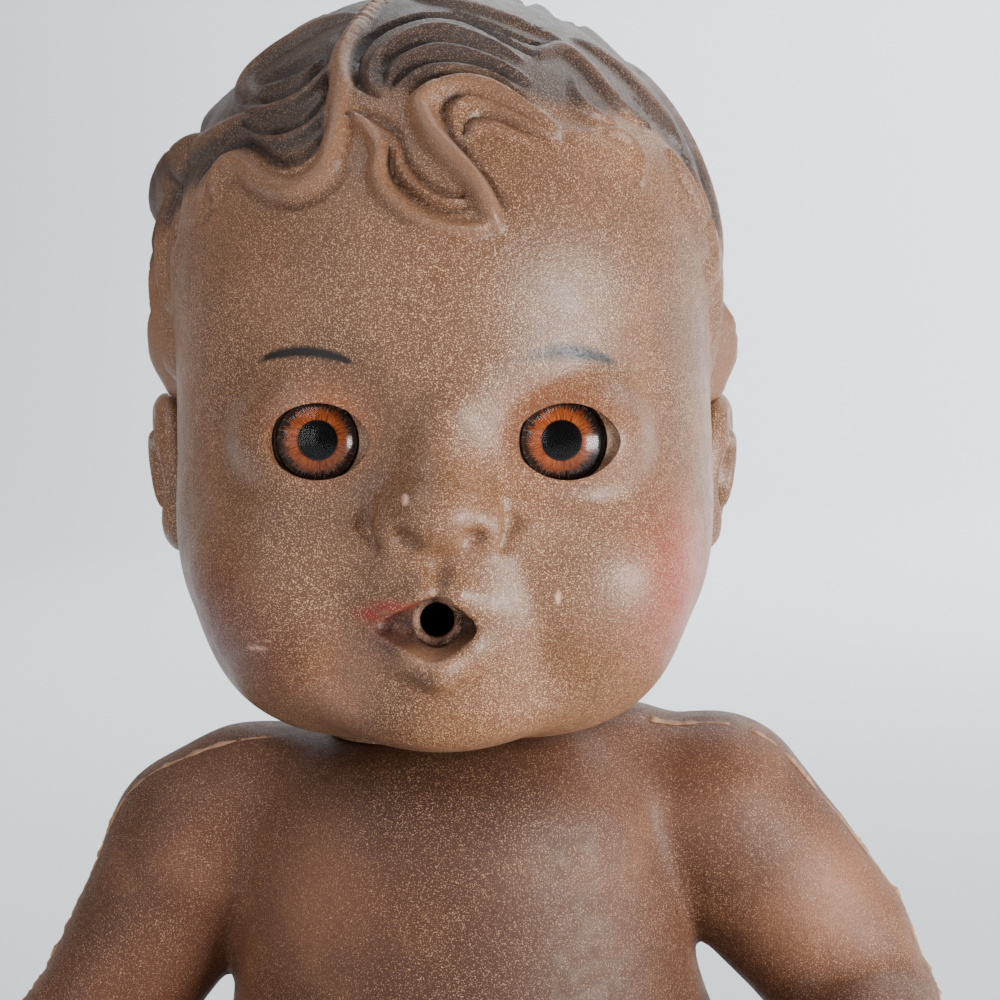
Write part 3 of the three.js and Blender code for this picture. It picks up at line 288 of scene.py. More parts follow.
FRONT_STRANDS = [
    # Parting ridge that turns into the waved hairline on the doll's right
    Strand(2.2, 1.9, [(-14, 84), (-27, 74), (-28, 65), (-25.5, 56), (-25, 51), (-23.7, 45.6), (-21.2, 40.3),
                      (-20, 36), (-19.4, 32.5), (-19, 29.8), (-19, 27), (-19.6, 24.2), (-22.2, 21.6),
                      (-26.3, 20.4), (-31, 21.2), (-35.6, 23.2), (-39.7, 25.4), (-43.7, 26.7),
                      (-47.4, 25.6), (-48.4, 22.6), (-47.4, 19)], bare=True, section=0.9),
    Strand(0.9, -0.6, [(-15.5, 24), (-17.5, 21), (-20.5, 18.8), (-25.5, 17.4), (-31, 18), (-36.5, 20),
                       (-41, 22.4), (-44, 23), (-45, 20)]),
    # Waves combed from the parting towards the doll's right ear
    Strand(3.4, 1.7, [(-33, 61), (-43.5, 59), (-50, 55), (-56, 51), (-59.4, 47), (-55.4, 42.7),
                      (-46.4, 39)]),
    Strand(2.0, -1.0, [(-30, 55), (-29, 50.7), (-31, 47.3), (-35.6, 45.4), (-42, 44.5), (-49, 43.6)]),
    Strand(1.1, 0.9, [(-27, 50.5), (-27.7, 46.8), (-30.6, 44), (-34.3, 42.2), (-39, 41.3), (-45, 41.3)]),
    Strand(0.9, -1.0, [(-27.5, 47.8), (-29, 43.4), (-31.4, 40.5), (-35.4, 38.9), (-40.2, 38.3),
                       (-46.7, 39)]),
    Strand(1.6, 1.4, [(-25, 44.6), (-26, 41.9), (-27.8, 38.8), (-30.8, 36.7), (-35.6, 35.7), (-42, 35.9),
                      (-52, 38)]),
    Strand(0.9, -1.0, [(-24.5, 41.7), (-24, 36.4), (-25.5, 33.4), (-27.5, 31.5), (-32, 30.7), (-38, 31.3),
                       (-45, 33.8)]),
    Strand(1.5, 1.3, [(-22.4, 38.5), (-22.3, 34.7), (-23.6, 31.8), (-26.5, 30), (-31, 29), (-36, 30),
                      (-42, 32), (-51, 34.6)]),
    Strand(1.0, -1.2, [(-21, 33.6), (-21, 29.9), (-22, 28.2), (-24, 26.4), (-26.7, 25.2), (-30, 25.2),
                       (-34, 26.7), (-38, 28.7), (-42, 29.9), (-45.5, 29.7), (-49, 28.6)]),
    # Locks in front of the doll's right ear
    Strand(3.4, 1.9, [(-43, 35), (-51, 33), (-62, 31), (-74, 29), (-82, 24)]),
    Strand(1.1, -1.2, [(-50, 28.4), (-54.7, 26), (-57, 23.5), (-57.5, 20.6)]),
    Strand(1.3, 1.1, [(-52, 23), (-52.5, 18.8), (-57, 15.6)], bare=True),
    Strand(0.9, -0.8, [(-48.8, 22.4), (-48, 19), (-50.5, 16)]),
    Strand(1.3, -1.1, [(-72, 28), (-69, 24), (-65, 20), (-64, 14)]),
    Strand(2.8, 2.2, [(-66, 30), (-72, 24), (-74, 18), (-74, 10), (-73, 2)]),
    Strand(3.2, 2.8, [(-82, 30), (-82, 20), (-81, 10), (-79, 0), (-79, -8), (-82, -13)]),
    Strand(6.0, 4.7, [(-64, 32), (-73, 28), (-82, 24), (-91, 20), (-100, 16)]),
    Strand(4.9, 4.6, [(-84, 2), (-88, -5), (-90, -11), (-91, -18)]),
    Strand(1.2, -0.8, [(-70, 27), (-79, 23), (-86, 16), (-88, 8)]),
    # Comb lines over the forelock
    Strand(1.2, -1.3, [(-12, 36.5), (-17, 39.5), (-19.5, 43.8), (-20, 48.6), (-17.8, 53), (-11.6, 57),
                       (-4, 59), (6, 58), (13.4, 54), (17.8, 50.6), (23, 47.3)]),
    Strand(1.4, 1.2, [(-14, 38.7), (-15, 41), (-15, 44.6), (-12, 49.3), (-5.5, 53), (1.6, 53.7),
                      (8.5, 51.4), (14.6, 48.6), (19, 45.4)]),
    Strand(0.9, -0.9, [(-12, 39), (-12.2, 42.5), (-11.5, 45), (-7.7, 47.7), (-2.3, 50), (3.6, 49.8),
                       (9, 47.8), (14, 45)]),
    Strand(1.3, 1.1, [(-10.4, 39.8), (-9.6, 43.3), (-6.7, 45.6), (-1, 47.5), (5, 46.8), (11, 45),
                      (15.4, 43), (19, 40.8)]),
    Strand(0.9, -0.9, [(-10, 38), (-7.7, 41), (-3, 43.6), (2.7, 44.5), (8.5, 44), (14, 42), (18, 39.4)]),
    Strand(1.2, 1.0, [(-8, 38.4), (-4, 41.7), (1.6, 42.6), (7, 42), (12, 40.5), (15.7, 38)]),
    Strand(0.9, -1.1, [(-6, 36.7), (-1.7, 40), (3, 41), (9.3, 40.6), (13.3, 38.7), (17, 36), (20, 33.6)]),
    # Forelock: an arc that hooks over and runs down to the tip, and the curl under it
    Strand(1.8, 1.6, [(23, 30), (18.8, 33.6), (14.5, 36.3), (10, 38.5), (5.3, 39.4), (0.6, 38.7),
                      (-2.8, 36.2)], bare=True),
    Strand(2.5, 2.5, [(-1, 38), (-3.7, 34.7), (-3, 32), (-1.4, 29), (1, 26.2), (3.7, 23.5), (6.4, 20.2),
                      (8, 17), (9.3, 14.4)], bare=True, blunt=0.6),
    Strand(0.8, -0.9, [(1.4, 32), (1.7, 29.8), (4, 26.7), (7.3, 22.8), (9.8, 19.4), (11.6, 16.2)]),
    Strand(0.8, -0.9, [(1.4, 30.5), (0.8, 33.5), (2, 36), (4.8, 37), (8.3, 36.6)]),
    Strand(1.2, 1.0, [(3, 31), (3, 33.5), (5, 35.5), (8.7, 35.2), (13, 33.5), (17.3, 31.5),
                      (21.4, 29.4)], bare=True),
    Strand(0.7, -0.8, [(4.3, 29), (5.5, 32), (8, 33.4), (11.8, 32.8), (16, 31), (20.6, 29.2)]),
    Strand(1.2, 0.8, [(5.3, 28.5), (7.2, 30.8), (10.7, 30.8), (14.3, 29.3), (18.7, 27.3)], bare=True),
    Strand(1.8, 1.8, [(-16.6, 33), (-12.5, 29.4), (-10.4, 26), (-10.5, 23), (-9.4, 19.7), (-6.2, 16.7),
                      (-2.8, 14.6), (1.5, 13.4), (5.8, 13.3), (9, 14.4)], bare=True, blunt=0.6),
    Strand(0.9, -0.9, [(-9, 27), (-8.5, 25), (-7.7, 22), (-5, 19), (-1, 16.8), (2.8, 16.3), (6, 17)]),
    Strand(1.1, 0.9, [(-7.7, 26.4), (-6.6, 23.4), (-4.2, 20.4), (-0.3, 18.2), (4, 17.7)]),
    Strand(0.9, -0.9, [(-6.6, 28), (-5.2, 24), (-2.4, 21), (1.5, 19), (5.2, 18.5)]),
    Strand(1.0, -0.9, [(-17.3, 32.4), (-15.4, 33.6), (-11.6, 32.3), (-8, 30), (-6.2, 27.3)]),
    # Softer waves towards the doll's left ear
    Strand(2.4, 1.5, [(24, 47.4), (30, 50), (34.6, 50), (38, 46), (39.7, 41.8), (43, 37.8), (48.6, 35.5)]),
    Strand(0.9, -1.1, [(39, 49.4), (41.5, 44), (42.4, 40), (45.3, 37), (51, 34.6)]),
    Strand(1.5, 1.1, [(31.4, 43), (30, 38.5), (32.6, 35.5), (37.7, 34)]),
    Strand(1.6, 1.2, [(34.8, 31.5), (38, 32), (41, 30.3), (42.3, 27), (41.4, 22.8)], bare=True),
    Strand(2.2, -0.5, [(23, 33), (27.4, 33.8), (32, 33.5)]),
    Strand(2.8, 1.5, [(44, 55), (50, 51.6), (55, 47), (58.6, 41.4), (63, 37), (64, 32)]),
    Strand(1.0, -1.1, [(51, 40.8), (56, 36.8), (61.3, 32.7), (66, 28.5)]),
    Strand(2.3, 1.3, [(55, 30.8), (58.5, 26.2), (62.4, 21.4), (65.5, 16)], bare=True),
    Strand(2.8, 1.3, [(64, 30), (68, 20), (72, 10), (76, 0), (79, -7), (83, -13)]),
    Strand(4.9, 4.4, [(84, 1), (88, -6), (90, -12), (91, -19)]),
    Strand(0.8, -0.8, [(3.4, 61), (14, 56), (22.7, 51.7), (29, 50.7)]),
    Strand(0.8, -0.8, [(10.8, 65.5), (22.5, 60), (31, 55)]),
    Strand(2.2, 1.3, [(-14, 70), (-2, 66), (14, 62), (26, 57), (36, 53)]),
]

# Where hair begins, and where its brown-black spray begins: bearing against height, both in degrees.
HAIRLINE = [
    (-180, -42), (-120, -36), (-100, -18), (-82, -10), (-72, -2), (-60, 12), (-47, 18), (-41, 25),
    (-30, 20.5), (-20, 23), (-15, 29), (0, 34), (10, 35), (20, 28), (40, 23), (52, 22), (60, 14), (67, 6),
    (80, -10), (100, -18), (120, -36), (180, -42),
]
SPRAY = [
    (-180, -37), (-120, -30), (-100, -12), (-84, 6), (-66, 20), (-54, 24), (-47, 27), (-38, 27.5),
    (-30, 24.5), (-22, 27), (-19, 38), (-12, 37), (-5, 38), (3, 41), (10, 40.5), (16, 37), (24, 35),
    (34, 34), (44, 36), (54, 33), (66, 24), (84, 6), (100, -12), (120, -30), (180, -37),
]


def whorl_strands():
    """Waves of uneven width and sway from the whorl behind the crown, with comb lines between them."""
    uneven = np.random.default_rng(WHORL_SEED)
    middle = bearing(*WHORL)
    east = unit(np.cross((0, 0, 1), middle))
    north = np.cross(middle, east)
    strands = []
    for i in range(2 * WHORL_STRANDS):
        heading = math.pi * (i + 0.5 + uneven.uniform(-0.5, 0.5)) / WHORL_STRANDS
        away = east * math.sin(heading) - north * math.cos(heading)
        across = np.cross(middle, away)
        swing, shift, reach = (uneven.uniform(*span) for span in ((0.09, 0.17), (0.1, 1.0), (92, 112)))
        route = []
        for step in range(WHORL_STEPS + 1):
            share = step / WHORL_STEPS
            angle = math.radians(WHORL_HEART + (reach - WHORL_HEART) * share)
            sway = swing * math.sin(3 * math.pi * share + shift) * min(step / 2, 1)
            sway += 0.5 * math.exp(-0.7 * step)
            place = unit(middle * math.cos(angle) + (away + across * sway) * math.sin(angle))
            route.append(turn_and_rise(place))
        if i % 2 == 0:
            width, height = uneven.uniform(3.6, 5.4), uneven.uniform(1.0, 1.7)
        else:
            width, height = uneven.uniform(0.8, 1.3), -uneven.uniform(0.5, 1.1)
        strands.append(Strand(width, height, route, blunt=0.25))
    return strands


def level(table, turn):
    places, heights = np.array(table, dtype=float).T
    return np.interp(turn, places, heights)


class Hair:
    """The moulded hair at points of the head: relief, ridges and grooves in millimetres, and spray."""

    def __init__(self, points):
        away = unit(points - HEAD_MIDDLE)
        turn, rise = turn_and_rise(away)
        behind = np.degrees(np.arccos(np.clip(away @ bearing(*FRONT_LOOK), -1, 1)))
        locks = np.sin(np.radians(turn) * 15 + 0.8 * np.sin(np.radians(turn) * 7))
        tips = TIP_LENGTH * smooth(80, 120, np.abs(turn)) * locks
        rooted = rise - level(HAIRLINE, turn) + tips
        back = smooth(56, 66, behind) * smooth(-2, 3, rooted)
        waves, lines, _ = self.laid(away, whorl_strands())
        ridges, grooves, bare = self.laid(away, FRONT_STRANDS)
        self.ridges = np.maximum(waves * back, ridges)
        self.grooves = np.maximum(lines * back, grooves)
        self.relief = self.ridges + HAIR_MASS * smooth(-1, 4, rooted) - self.grooves
        sprayed = smooth(-1.5, 3.0, rise - level(SPRAY, turn) + tips)
        self.spray = sprayed * (1 - 0.92 * smooth(0.15, 0.5, bare))

    @staticmethod
    def laid(away, strands):
        """The heights of ridges and of grooves, and how bare the crests are."""
        ridges, grooves, bare = np.zeros((3, len(away)))
        for strand in strands:
            near, share = strand.profile(away)
            if strand.height < 0:
                grooves[near] = np.maximum(grooves[near], -strand.height * share)
                continue
            ridges[near] = -melt(0.3, -ridges[near], -strand.height * share)
            if strand.bare:
                bare[near] = np.maximum(bare[near], share)
        return ridges, grooves, bare


# Body forms

SHOULDER = vec(41, 2, 86)
ELBOW = onward(SHOULDER, 40, 76, -54)
WRIST = onward(ELBOW, 35, -5, -15)
PALM = onward(WRIST, 10.5, -10, 0)
HIP = vec(23, -6, 23)
KNEE = onward(HIP, 69, 22, 0) * vec(1, 1, 0) + vec(0, 0, 20)
ANKLE = onward(KNEE, 44, -13, 0) * vec(1, 1, 0) + vec(0, 0, 13.5)
HEEL = vec(ANKLE[0], ANKLE[1] - 4, 9.5)
FOOT_BALL = onward(HEEL, 18, -10, 76)
FINGER_RADIUS = 3.1
TOE_RADIUS = 3.6


def hand_form(side):
    hand = ball(side, PALM, (5.6, 10.6, 9.0))
    knuckles = onward(PALM, 6.7, -14, 0)
    finger = (FINGER_RADIUS, FINGER_RADIUS, FINGER_RADIUS * 0.8)
    for i in range(4):
        rank = 1.5 - i
        start = knuckles + vec(0, 0.6 * rank * rank, rank * FINGER_RADIUS * 1.35)
        end = onward(start, 11, -22, 3 * rank - 8)
        hand = melt(1.6, hand, limb(side, start, end, finger))
    thumb = onward(PALM, 7.2, -60, 60)
    tip = onward(thumb, 7.7, -40, 25)
    return melt(2, hand, limb(side, thumb, tip, (FINGER_RADIUS * 1.1, FINGER_RADIUS * 0.9)))


def foot_form(side):
    foot = limb(side, HEEL, FOOT_BALL, (10, 10.5, 9.5))
    for i in range(5):
        across = (i - 2) * TOE_RADIUS * 1.2
        radius = TOE_RADIUS * (1.2 - 0.1 * i)
        start = FOOT_BALL + vec(across, -1, 6.4 - 0.06 * across ** 2 - 0.4 * i)
        foot = melt(1.6, foot, limb(side, start, onward(start, 2.2, 0, 60), (radius, radius)))
    return foot


def trunk_form(points, side):
    chest = ball(points, vec(0, 0, 74), (37, 31, 33))
    belly = ball(points, vec(0, -2, 39), (43, 38, 41))
    neck_base = ball(points, vec(0, 1, 90), (32, 29, 18))
    seat = ball(side, vec(17, 12, 19), (21, 22, 20))
    collar = ball(side, vec(25, 3, 91.5), (15, 14, 14))
    right_collar = ball(points, vec(-33, 3, 92.5), (14, 13, 13))
    trunk = melt(4, melt(10, chest, belly, neck_base), seat)
    return melt(4, melt(5, trunk, collar), right_collar)


def arm_form(points, side):
    """Two arms, of which the doll's left is fuller."""
    yoke = limb(side, vec(10.5, 2, 91.5), SHOULDER, (14.5, 15))
    upper = limb(side, SHOULDER, ELBOW, (15, 13.8, 12.2, 11.5))
    lower = limb(side, ELBOW, WRIST, (11.5, 12, 10, 8.2), creases=[(0.97, 0.9)])
    arm = melt(2.5, melt(4, yoke, upper, lower), hand_form(side))
    fuller_end = 0.3 * SHOULDER + 0.7 * ELBOW + vec(3.9, 0, 2.4)
    return melt(4, arm, limb(points, SHOULDER + vec(3.2, 0, 1.2), fuller_end, (13, 13, 11.5)))


def leg_form(side):
    thigh = limb(side, HIP, KNEE, (24, 24, 21, 18), creases=[(0.52, 1.0)])
    calf = limb(side, KNEE, ANKLE, (18, 17.5, 14, 11.5), creases=[(0.95, 0.9)])
    return melt(3, melt(5, thigh, calf), foot_form(side))


def body_form(points):
    """The body with its navel and the creases of its armpits, cut by a shallow dish under the head."""
    side = on_left(points)
    lower = melt(7, trunk_form(points, side), leg_form(side))
    body = melt(3, lower, arm_form(points, side))
    navel = ball(points, vec(0, -41.5, 43), (1.8, 3.2, 1.8))
    armpits = limb(side, vec(29.5, -22.6, 73.4), vec(33.5, -19.6, 74.4), (0.7, 0.9))
    reach = np.hypot(points[..., 0], points[..., 1])
    dish = NECK_HEIGHT + np.interp(reach, (24, 38, 46), (0, 3.2, 14)) - points[..., 2]
    return hollow(2.5, hollow(0.8, hollow(1.5, body, navel), armpits), dish)


def outward(form, start, direction, reach):
    """The last point of a form on a line from a start inside it."""
    line = start + np.linspace(0, reach, 400)[:, None] * direction
    return line[np.nonzero(form(line) < 0)[0].max()]


def seam_route(side):
    """Where the halves of the mould met on one side: over the shoulder and down the outer arm."""
    corners = [vec(24, 3, 90), SHOULDER, ELBOW, 0.5 * (ELBOW + WRIST)]
    shares = np.linspace(0, 1, 16)[:-1]
    spans = zip(corners, corners[1:])
    axis = np.array([near + share * (far - near) for near, far in spans for share in shares])
    for _ in range(6):
        axis[1:-1] = 0.25 * axis[:-2] + 0.5 * axis[1:-1] + 0.25 * axis[2:]
    out = unit(np.cross(np.gradient(axis, axis=0), (0, 1, 0)))
    # The line lies towards the front on the shoulder and turns to the side down the arm.
    out[:, 1] -= np.interp(np.arange(len(axis)), (0, 15, 30), (0.45, 0.3, 0.0))
    flip = vec(side, 1, 1)
    return np.array([outward(body_form, start, way, 30) for start, way in zip(axis * flip, out * flip)])


# Surface of a form: one point in each cell of a lattice that the surface crosses, drawn onto the surface

CORNERS = np.array([(i, j, k) for i in (0, 1) for j in (0, 1) for k in (0, 1)])
EDGES = [(a, b) for a in range(8) for b in range(a + 1, 8) if np.abs(CORNERS[a] - CORNERS[b]).sum() == 1]
BLOCK = 4
UNTYING_ROUNDS = 20
DRAWING_ROUNDS = 3
SLOPE_STEP = 0.05


def at_corner(values, corner):
    """The values at one corner of each cell of a lattice."""
    i, j, k = corner
    shape = np.array(values.shape) - 1
    return values[i:i + shape[0], j:j + shape[1], k:k + shape[2]]


def lattice_values(form, low, counts, cell):
    """Values of a form on a lattice, worked out in full only in the blocks near its surface."""
    blocks = -(-(counts - 1) // BLOCK)
    axes = [low[i] + np.arange(blocks[i] + 1) * cell * BLOCK for i in range(3)]
    coarse = form(np.stack(np.meshgrid(*axes, indexing="ij"), axis=-1))
    closest = np.min([np.abs(at_corner(coarse, corner)) for corner in CORNERS], axis=0)
    near = closest < 1.1 * cell * BLOCK
    values = coarse[:-1, :-1, :-1]
    for axis in range(3):
        values = np.repeat(values, BLOCK, axis=axis)
        near = np.repeat(near, BLOCK, axis=axis)
    values = np.pad(values, [(0, 1)] * 3, mode="edge")
    wanted = np.pad(near, [(0, 1)] * 3, mode="edge")
    for axis in range(3):
        wanted |= np.roll(wanted, 1, axis=axis)
    values[wanted] = form(low + np.argwhere(wanted) * cell)
    return values


def untied(values):
    """Fills the corners where two sheets of a surface would touch along an edge, so that it closes."""
    for _ in range(UNTYING_ROUNDS):
        inside = values < 0
        knots = 0
        for axis in range(3):
            u, v = (axis + 1) % 3, (axis + 2) % 3
            across = np.moveaxis(inside, (u, v), (0, 1))
            a, b, c, d = across[:-1, :-1], across[1:, :-1], across[1:, 1:], across[:-1, 1:]
            tied = np.argwhere((a == c) & (b == d) & (a != b))
            spots = np.zeros((len(tied), 3), dtype=int)
            spots[:, u], spots[:, v], spots[:, axis] = tied.T
            spots[:, u] += inside[tuple(spots.T)]
            values[tuple(spots.T)] = -1e-3
            knots += len(tied)
        if not knots:
            break
    return values


def crossed_cells(values):
    """The cells that the surface crosses, and the mean of its crossings with the edges of each."""
    count = sum(at_corner(values < 0, corner).astype(np.int8) for corner in CORNERS)
    cells = np.argwhere((count > 0) & (count < len(CORNERS)))
    corner_values = np.stack([values[tuple((cells + corner).T)] for corner in CORNERS], axis=1)
    place = np.zeros((len(cells), 3))
    crossings = np.zeros(len(cells))
    for a, b in EDGES:
        near, far = corner_values[:, a], corner_values[:, b]
        crossed = (near < 0) != (far < 0)
        t = np.where(crossed, near / np.where(crossed, near - far, 1), 0)
        place += crossed[:, None] * (CORNERS[a] + t[:, None] * (CORNERS[b] - CORNERS[a]))
        crossings += crossed
    return cells, cells + place / crossings[:, None]


def crossing_faces(inside, cells):
    """A face for each edge of the lattice that the surface crosses, between the cells round that edge."""
    shape = np.array(inside.shape) - 1
    number = np.full(shape, -1)
    number[tuple(cells.T)] = np.arange(len(cells))
    faces = []
    for axis in range(3):
        u, v = (axis + 1) % 3, (axis + 2) % 3
        along = np.moveaxis(inside, axis, 0)
        edges = np.argwhere(np.moveaxis(along[:-1] != along[1:], 0, axis))
        within = (edges[:, u] > 0) & (edges[:, v] > 0) & (edges[:, u] < shape[u]) & (edges[:, v] < shape[v])
        edges = edges[within]
        step_u, step_v = np.eye(3, dtype=int)[[u, v]]
        ring = [edges - step_u - step_v, edges - step_v, edges, edges - step_u]
        quads = np.stack([number[tuple(corner.T)] for corner in ring], axis=1)
        leaving = inside[tuple(edges.T)]
        faces.append(np.where(leaving[:, None], quads, quads[:, ::-1]))
    return np.concatenate(faces)


def skin_of(form, box, cell):
    """Points and four-sided faces on the zero surface of a form, in a box of cells."""
    low, high = np.array(box, dtype=float)
    counts = np.ceil((high - low) / cell).astype(int) + 1
    values = untied(lattice_values(form, low, counts, cell))
    cells, places = crossed_cells(values)
    return drawn_on(form, low + places * cell, cell), crossing_faces(values < 0, cells)


def slope_of(form, points):
    rises = [form(points + step) - form(points - step) for step in SLOPE_STEP * np.eye(3)]
    return np.stack(rises, axis=1) / (2 * SLOPE_STEP)


def drawn_on(form, points, limit):
    """Points moved onto the surface of a form, by no more than a limit each time."""
    for _ in range(DRAWING_ROUNDS):
        slope = slope_of(form, points)
        move = form(points)[:, None] * slope / np.maximum((slope ** 2).sum(axis=1, keepdims=True), 0.1)
        points = points - np.clip(move, -limit, limit)
    return points


# Meshes

SHARP_ANGLE = 40


def mesh_object(name, points, faces, place):
    mesh = bpy.data.meshes.new(name)
    if isinstance(faces, np.ndarray):
        faces = faces.tolist()
    mesh.from_pydata(np.asarray(points).tolist(), [], faces)
    mesh.transform(place)
    mesh.update()
    made = bpy.data.objects.new(name, mesh)
    bpy.context.scene.collection.objects.link(made)
    return made


def skin_object(name, form, box, cell, place):
    points, faces = skin_of(form, box, cell)
    return mesh_object(name, points, faces, place)


def hollow_object(form, box, cell, place):
    """The hollow of a form, a wall's thickness in from its surface."""
    return skin_object("cavity", lambda points: form(points) + WALL, box, cell, place)


def revolved(name, profile, segments, place):
    """A closed solid of revolution about +Z, from radius and height pairs anticlockwise round a section."""
    points, rings = [], []
    for radius, height in profile:
        if radius == 0:
            rings.append([len(points)] * segments)
            points.append((0, 0, height))
            continue
        rings.append(list(range(len(points), len(points) + segments)))
        for i in range(segments):
            turn = 2 * math.pi * i / segments
            points.append((radius * math.cos(turn), radius * math.sin(turn), height))
    pairs = list(zip(rings, rings[1:]))
    if profile[0][0] or profile[-1][0]:
        pairs.append((rings[-1], rings[0]))
    faces = []
    for near, far in pairs:
        for i in range(segments):
            j = (i + 1) % segments
            faces.append(list(dict.fromkeys([near[i], near[j], far[j], far[i]])))
    return mesh_object(name, points, faces, place)


def stepped(low, *levels):
    """Profile of a stepped plug, from its low end. Each level has a radius and the height where it ends."""
    profile = [(0, low)]
    for radius, top in levels:
        profile += [(radius, profile[-1][1]), (radius, top)]
    return profile + [(0, profile[-1][1])]


def dome(radius, rise, base, steps):
    turns = [math.pi / 2 * i / steps for i in range(1, steps)]
    return [(radius * math.cos(turn), base + rise * math.sin(turn)) for turn in turns] + [(0, base + rise)]


def combined(piece, operation, *others):
    """Joins or cuts other solids into a piece, and removes them."""
    for other in others:
        modifier = piece.modifiers.new("combine", "BOOLEAN")
        modifier.operation = operation
        modifier.solver = "MANIFOLD"
        modifier.object = other
        applied(piece)
        bpy.data.meshes.remove(other.data)
    return piece


def applied(piece):
    """Turns a piece's modifiers into plain mesh."""
    graph = bpy.context.evaluated_depsgraph_get()
    mesh = bpy.data.meshes.new_from_object(piece.evaluated_get(graph))
    if not len(mesh.polygons):
        raise RuntimeError(f"{piece.name} came out empty")
    old = piece.data
    piece.modifiers.clear()
    piece.data = mesh
    name = old.name
    bpy.data.meshes.remove(old)
    mesh.name = name
    return piece


def local_points(piece, place):
    """A piece's points in millimetres, in the frame that it was modelled in."""
    points = np.empty(3 * len(piece.data.vertices))
    piece.data.vertices.foreach_get("co", points)
    back = np.array(place.inverted())
    return points.reshape(-1, 3) @ back[:3, :3].T + back[:3, 3]


def place_points(piece, points, place):
    """Moves a piece's points to places in the frame that it was modelled in."""
    matrix = np.array(place)
    piece.data.vertices.foreach_set("co", (points @ matrix[:3, :3].T + matrix[:3, 3]).ravel())
    piece.data.update()


def give(piece, name, values):
    """Stores one number for each point, for a material to read."""
    attribute = piece.data.attributes.new(name, "FLOAT", "POINT")
    attribute.data.foreach_set("value", np.asarray(values, dtype=np.float32))


def smoothed(piece, angle=SHARP_ANGLE):
    piece.data.shade_smooth()
    piece.data.set_sharp_from_angle(angle=math.radians(angle))
    return piece


def settled(piece, body, node, material):
    """Gives a finished piece its material, and says what it moves with and stands for."""
    piece.data.materials.clear()
    piece.data.materials.append(material)
    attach(piece, body)
    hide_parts(node)


def turned(node, profile, segments, place, body, material, angle=SHARP_ANGLE):
    """A turned piece that stands for a node."""
    piece = smoothed(revolved(f"{node}_turned", profile, segments, place), angle)
    settled(piece, body, node, material)
    return piece


# Shader maths

BUMP_DISTANCE = 0.0002


class Wire:
    """A socket that takes part in arithmetic. Each operation adds a Math node."""

    def __init__(self, shader, socket):
        self.shader, self.socket = shader, socket

    def math(self, operation, *others):
        sockets = dict(enumerate((self, *others)))
        return self.shader.node("ShaderNodeMath", {"operation": operation}, sockets)

    def __add__(self, other):
        return self.math("ADD", other)

    def __sub__(self, other):
        return self.math("SUBTRACT", other)

    def __rsub__(self, other):
        return self.shader.node("ShaderNodeMath", {"operation": "SUBTRACT"}, {0: other, 1: self})

    def __mul__(self, other):
        return self.math("MULTIPLY", other)

    def __truediv__(self, other):
        return self.math("DIVIDE", other)

    __radd__ = __add__
    __rmul__ = __mul__


class Shader:
    """One material and its nodes."""

    def __init__(self, name):
        self.material = bpy.data.materials.new(name)
        self.material.use_nodes = True
        self.tree = self.material.node_tree
        self.tree.nodes.clear()

    def node(self, kind, choices=None, sockets=None, output=0):
        """Adds a node, sets it, links or fills its inputs, and returns one output as a Wire."""
        made = self.tree.nodes.new(kind)
        for key, value in (choices or {}).items():
            if key == "stops":
                self.ramp(made.color_ramp, value)
            else:
                setattr(made, key, value)
        for key, value in (sockets or {}).items():
            socket = made.inputs[key]
            if isinstance(value, Wire):
                self.tree.links.new(value.socket, socket)
            else:
                socket.default_value = value
        return Wire(self, made.outputs[output]) if made.outputs else made

    @staticmethod
    def ramp(ramp, stops):
        for i, (place, tint) in enumerate(stops):
            element = ramp.elements[i] if i < 2 else ramp.elements.new(place)
            element.position, element.color = place, tint

    def point(self, place):
        """Object coordinates in millimetres, in the frame that a piece was modelled in."""
        where = self.node("ShaderNodeTexCoord", output="Object")
        back = place.inverted()
        turn, scale = back.to_euler(), back.to_scale()
        sockets = {"Vector": where, "Location": back.to_translation(), "Rotation": turn, "Scale": scale}
        return self.node("ShaderNodeMapping", {"vector_type": "POINT"}, sockets)

    def parts(self, vector):
        """The three numbers of a vector."""
        first = self.node("ShaderNodeSeparateXYZ", {}, {0: vector})
        return [Wire(self, output) for output in first.socket.node.outputs]

    def vector(self, operation, *values, output=0):
        return self.node("ShaderNodeVectorMath", {"operation": operation}, dict(enumerate(values)), output)

    def noise(self, point, scale, detail=2.0, roughness=0.5):
        sockets = {"Vector": point, "Scale": scale, "Detail": detail, "Roughness": roughness}
        return self.node("ShaderNodeTexNoise", {}, sockets, "Fac")

    def ease(self, value, low, high, to_low=0.0, to_high=1.0):
        sockets = {"Value": value, "From Min": low, "From Max": high, "To Min": to_low, "To Max": to_high}
        return self.node("ShaderNodeMapRange", {"interpolation_type": "SMOOTHSTEP"}, sockets)

    def blob(self, point, centre, radii, soft=1.0):
        """A soft round mask: 1 at its centre, 0 past its radii."""
        away = self.vector("SUBTRACT", point, centre)
        scaled = self.vector("DIVIDE", away, radii)
        reach = self.vector("LENGTH", scaled, output="Value")
        return self.ease(reach, 1.0 - soft, 1.0, 1.0, 0.0)

    def mix(self, share, first, second):
        choices = {"data_type": "RGBA", "clamp_factor": True}
        return self.node("ShaderNodeMix", choices, {"Factor": share, 6: first, 7: second}, 2)

    def attribute(self, name):
        return self.node("ShaderNodeAttribute", {"attribute_name": name}, output="Fac")

    def finish(self, sockets, bump=None, strength=0.0):
        if bump is not None:
            relief = {"Strength": strength, "Distance": BUMP_DISTANCE, "Height": bump}
            sockets = {**sockets, "Normal": self.node("ShaderNodeBump", {}, relief)}
        surface = self.node("ShaderNodeBsdfPrincipled", {}, sockets)
        self.node("ShaderNodeOutputMaterial", {}, {"Surface": surface})
        return self.material


# Finishes


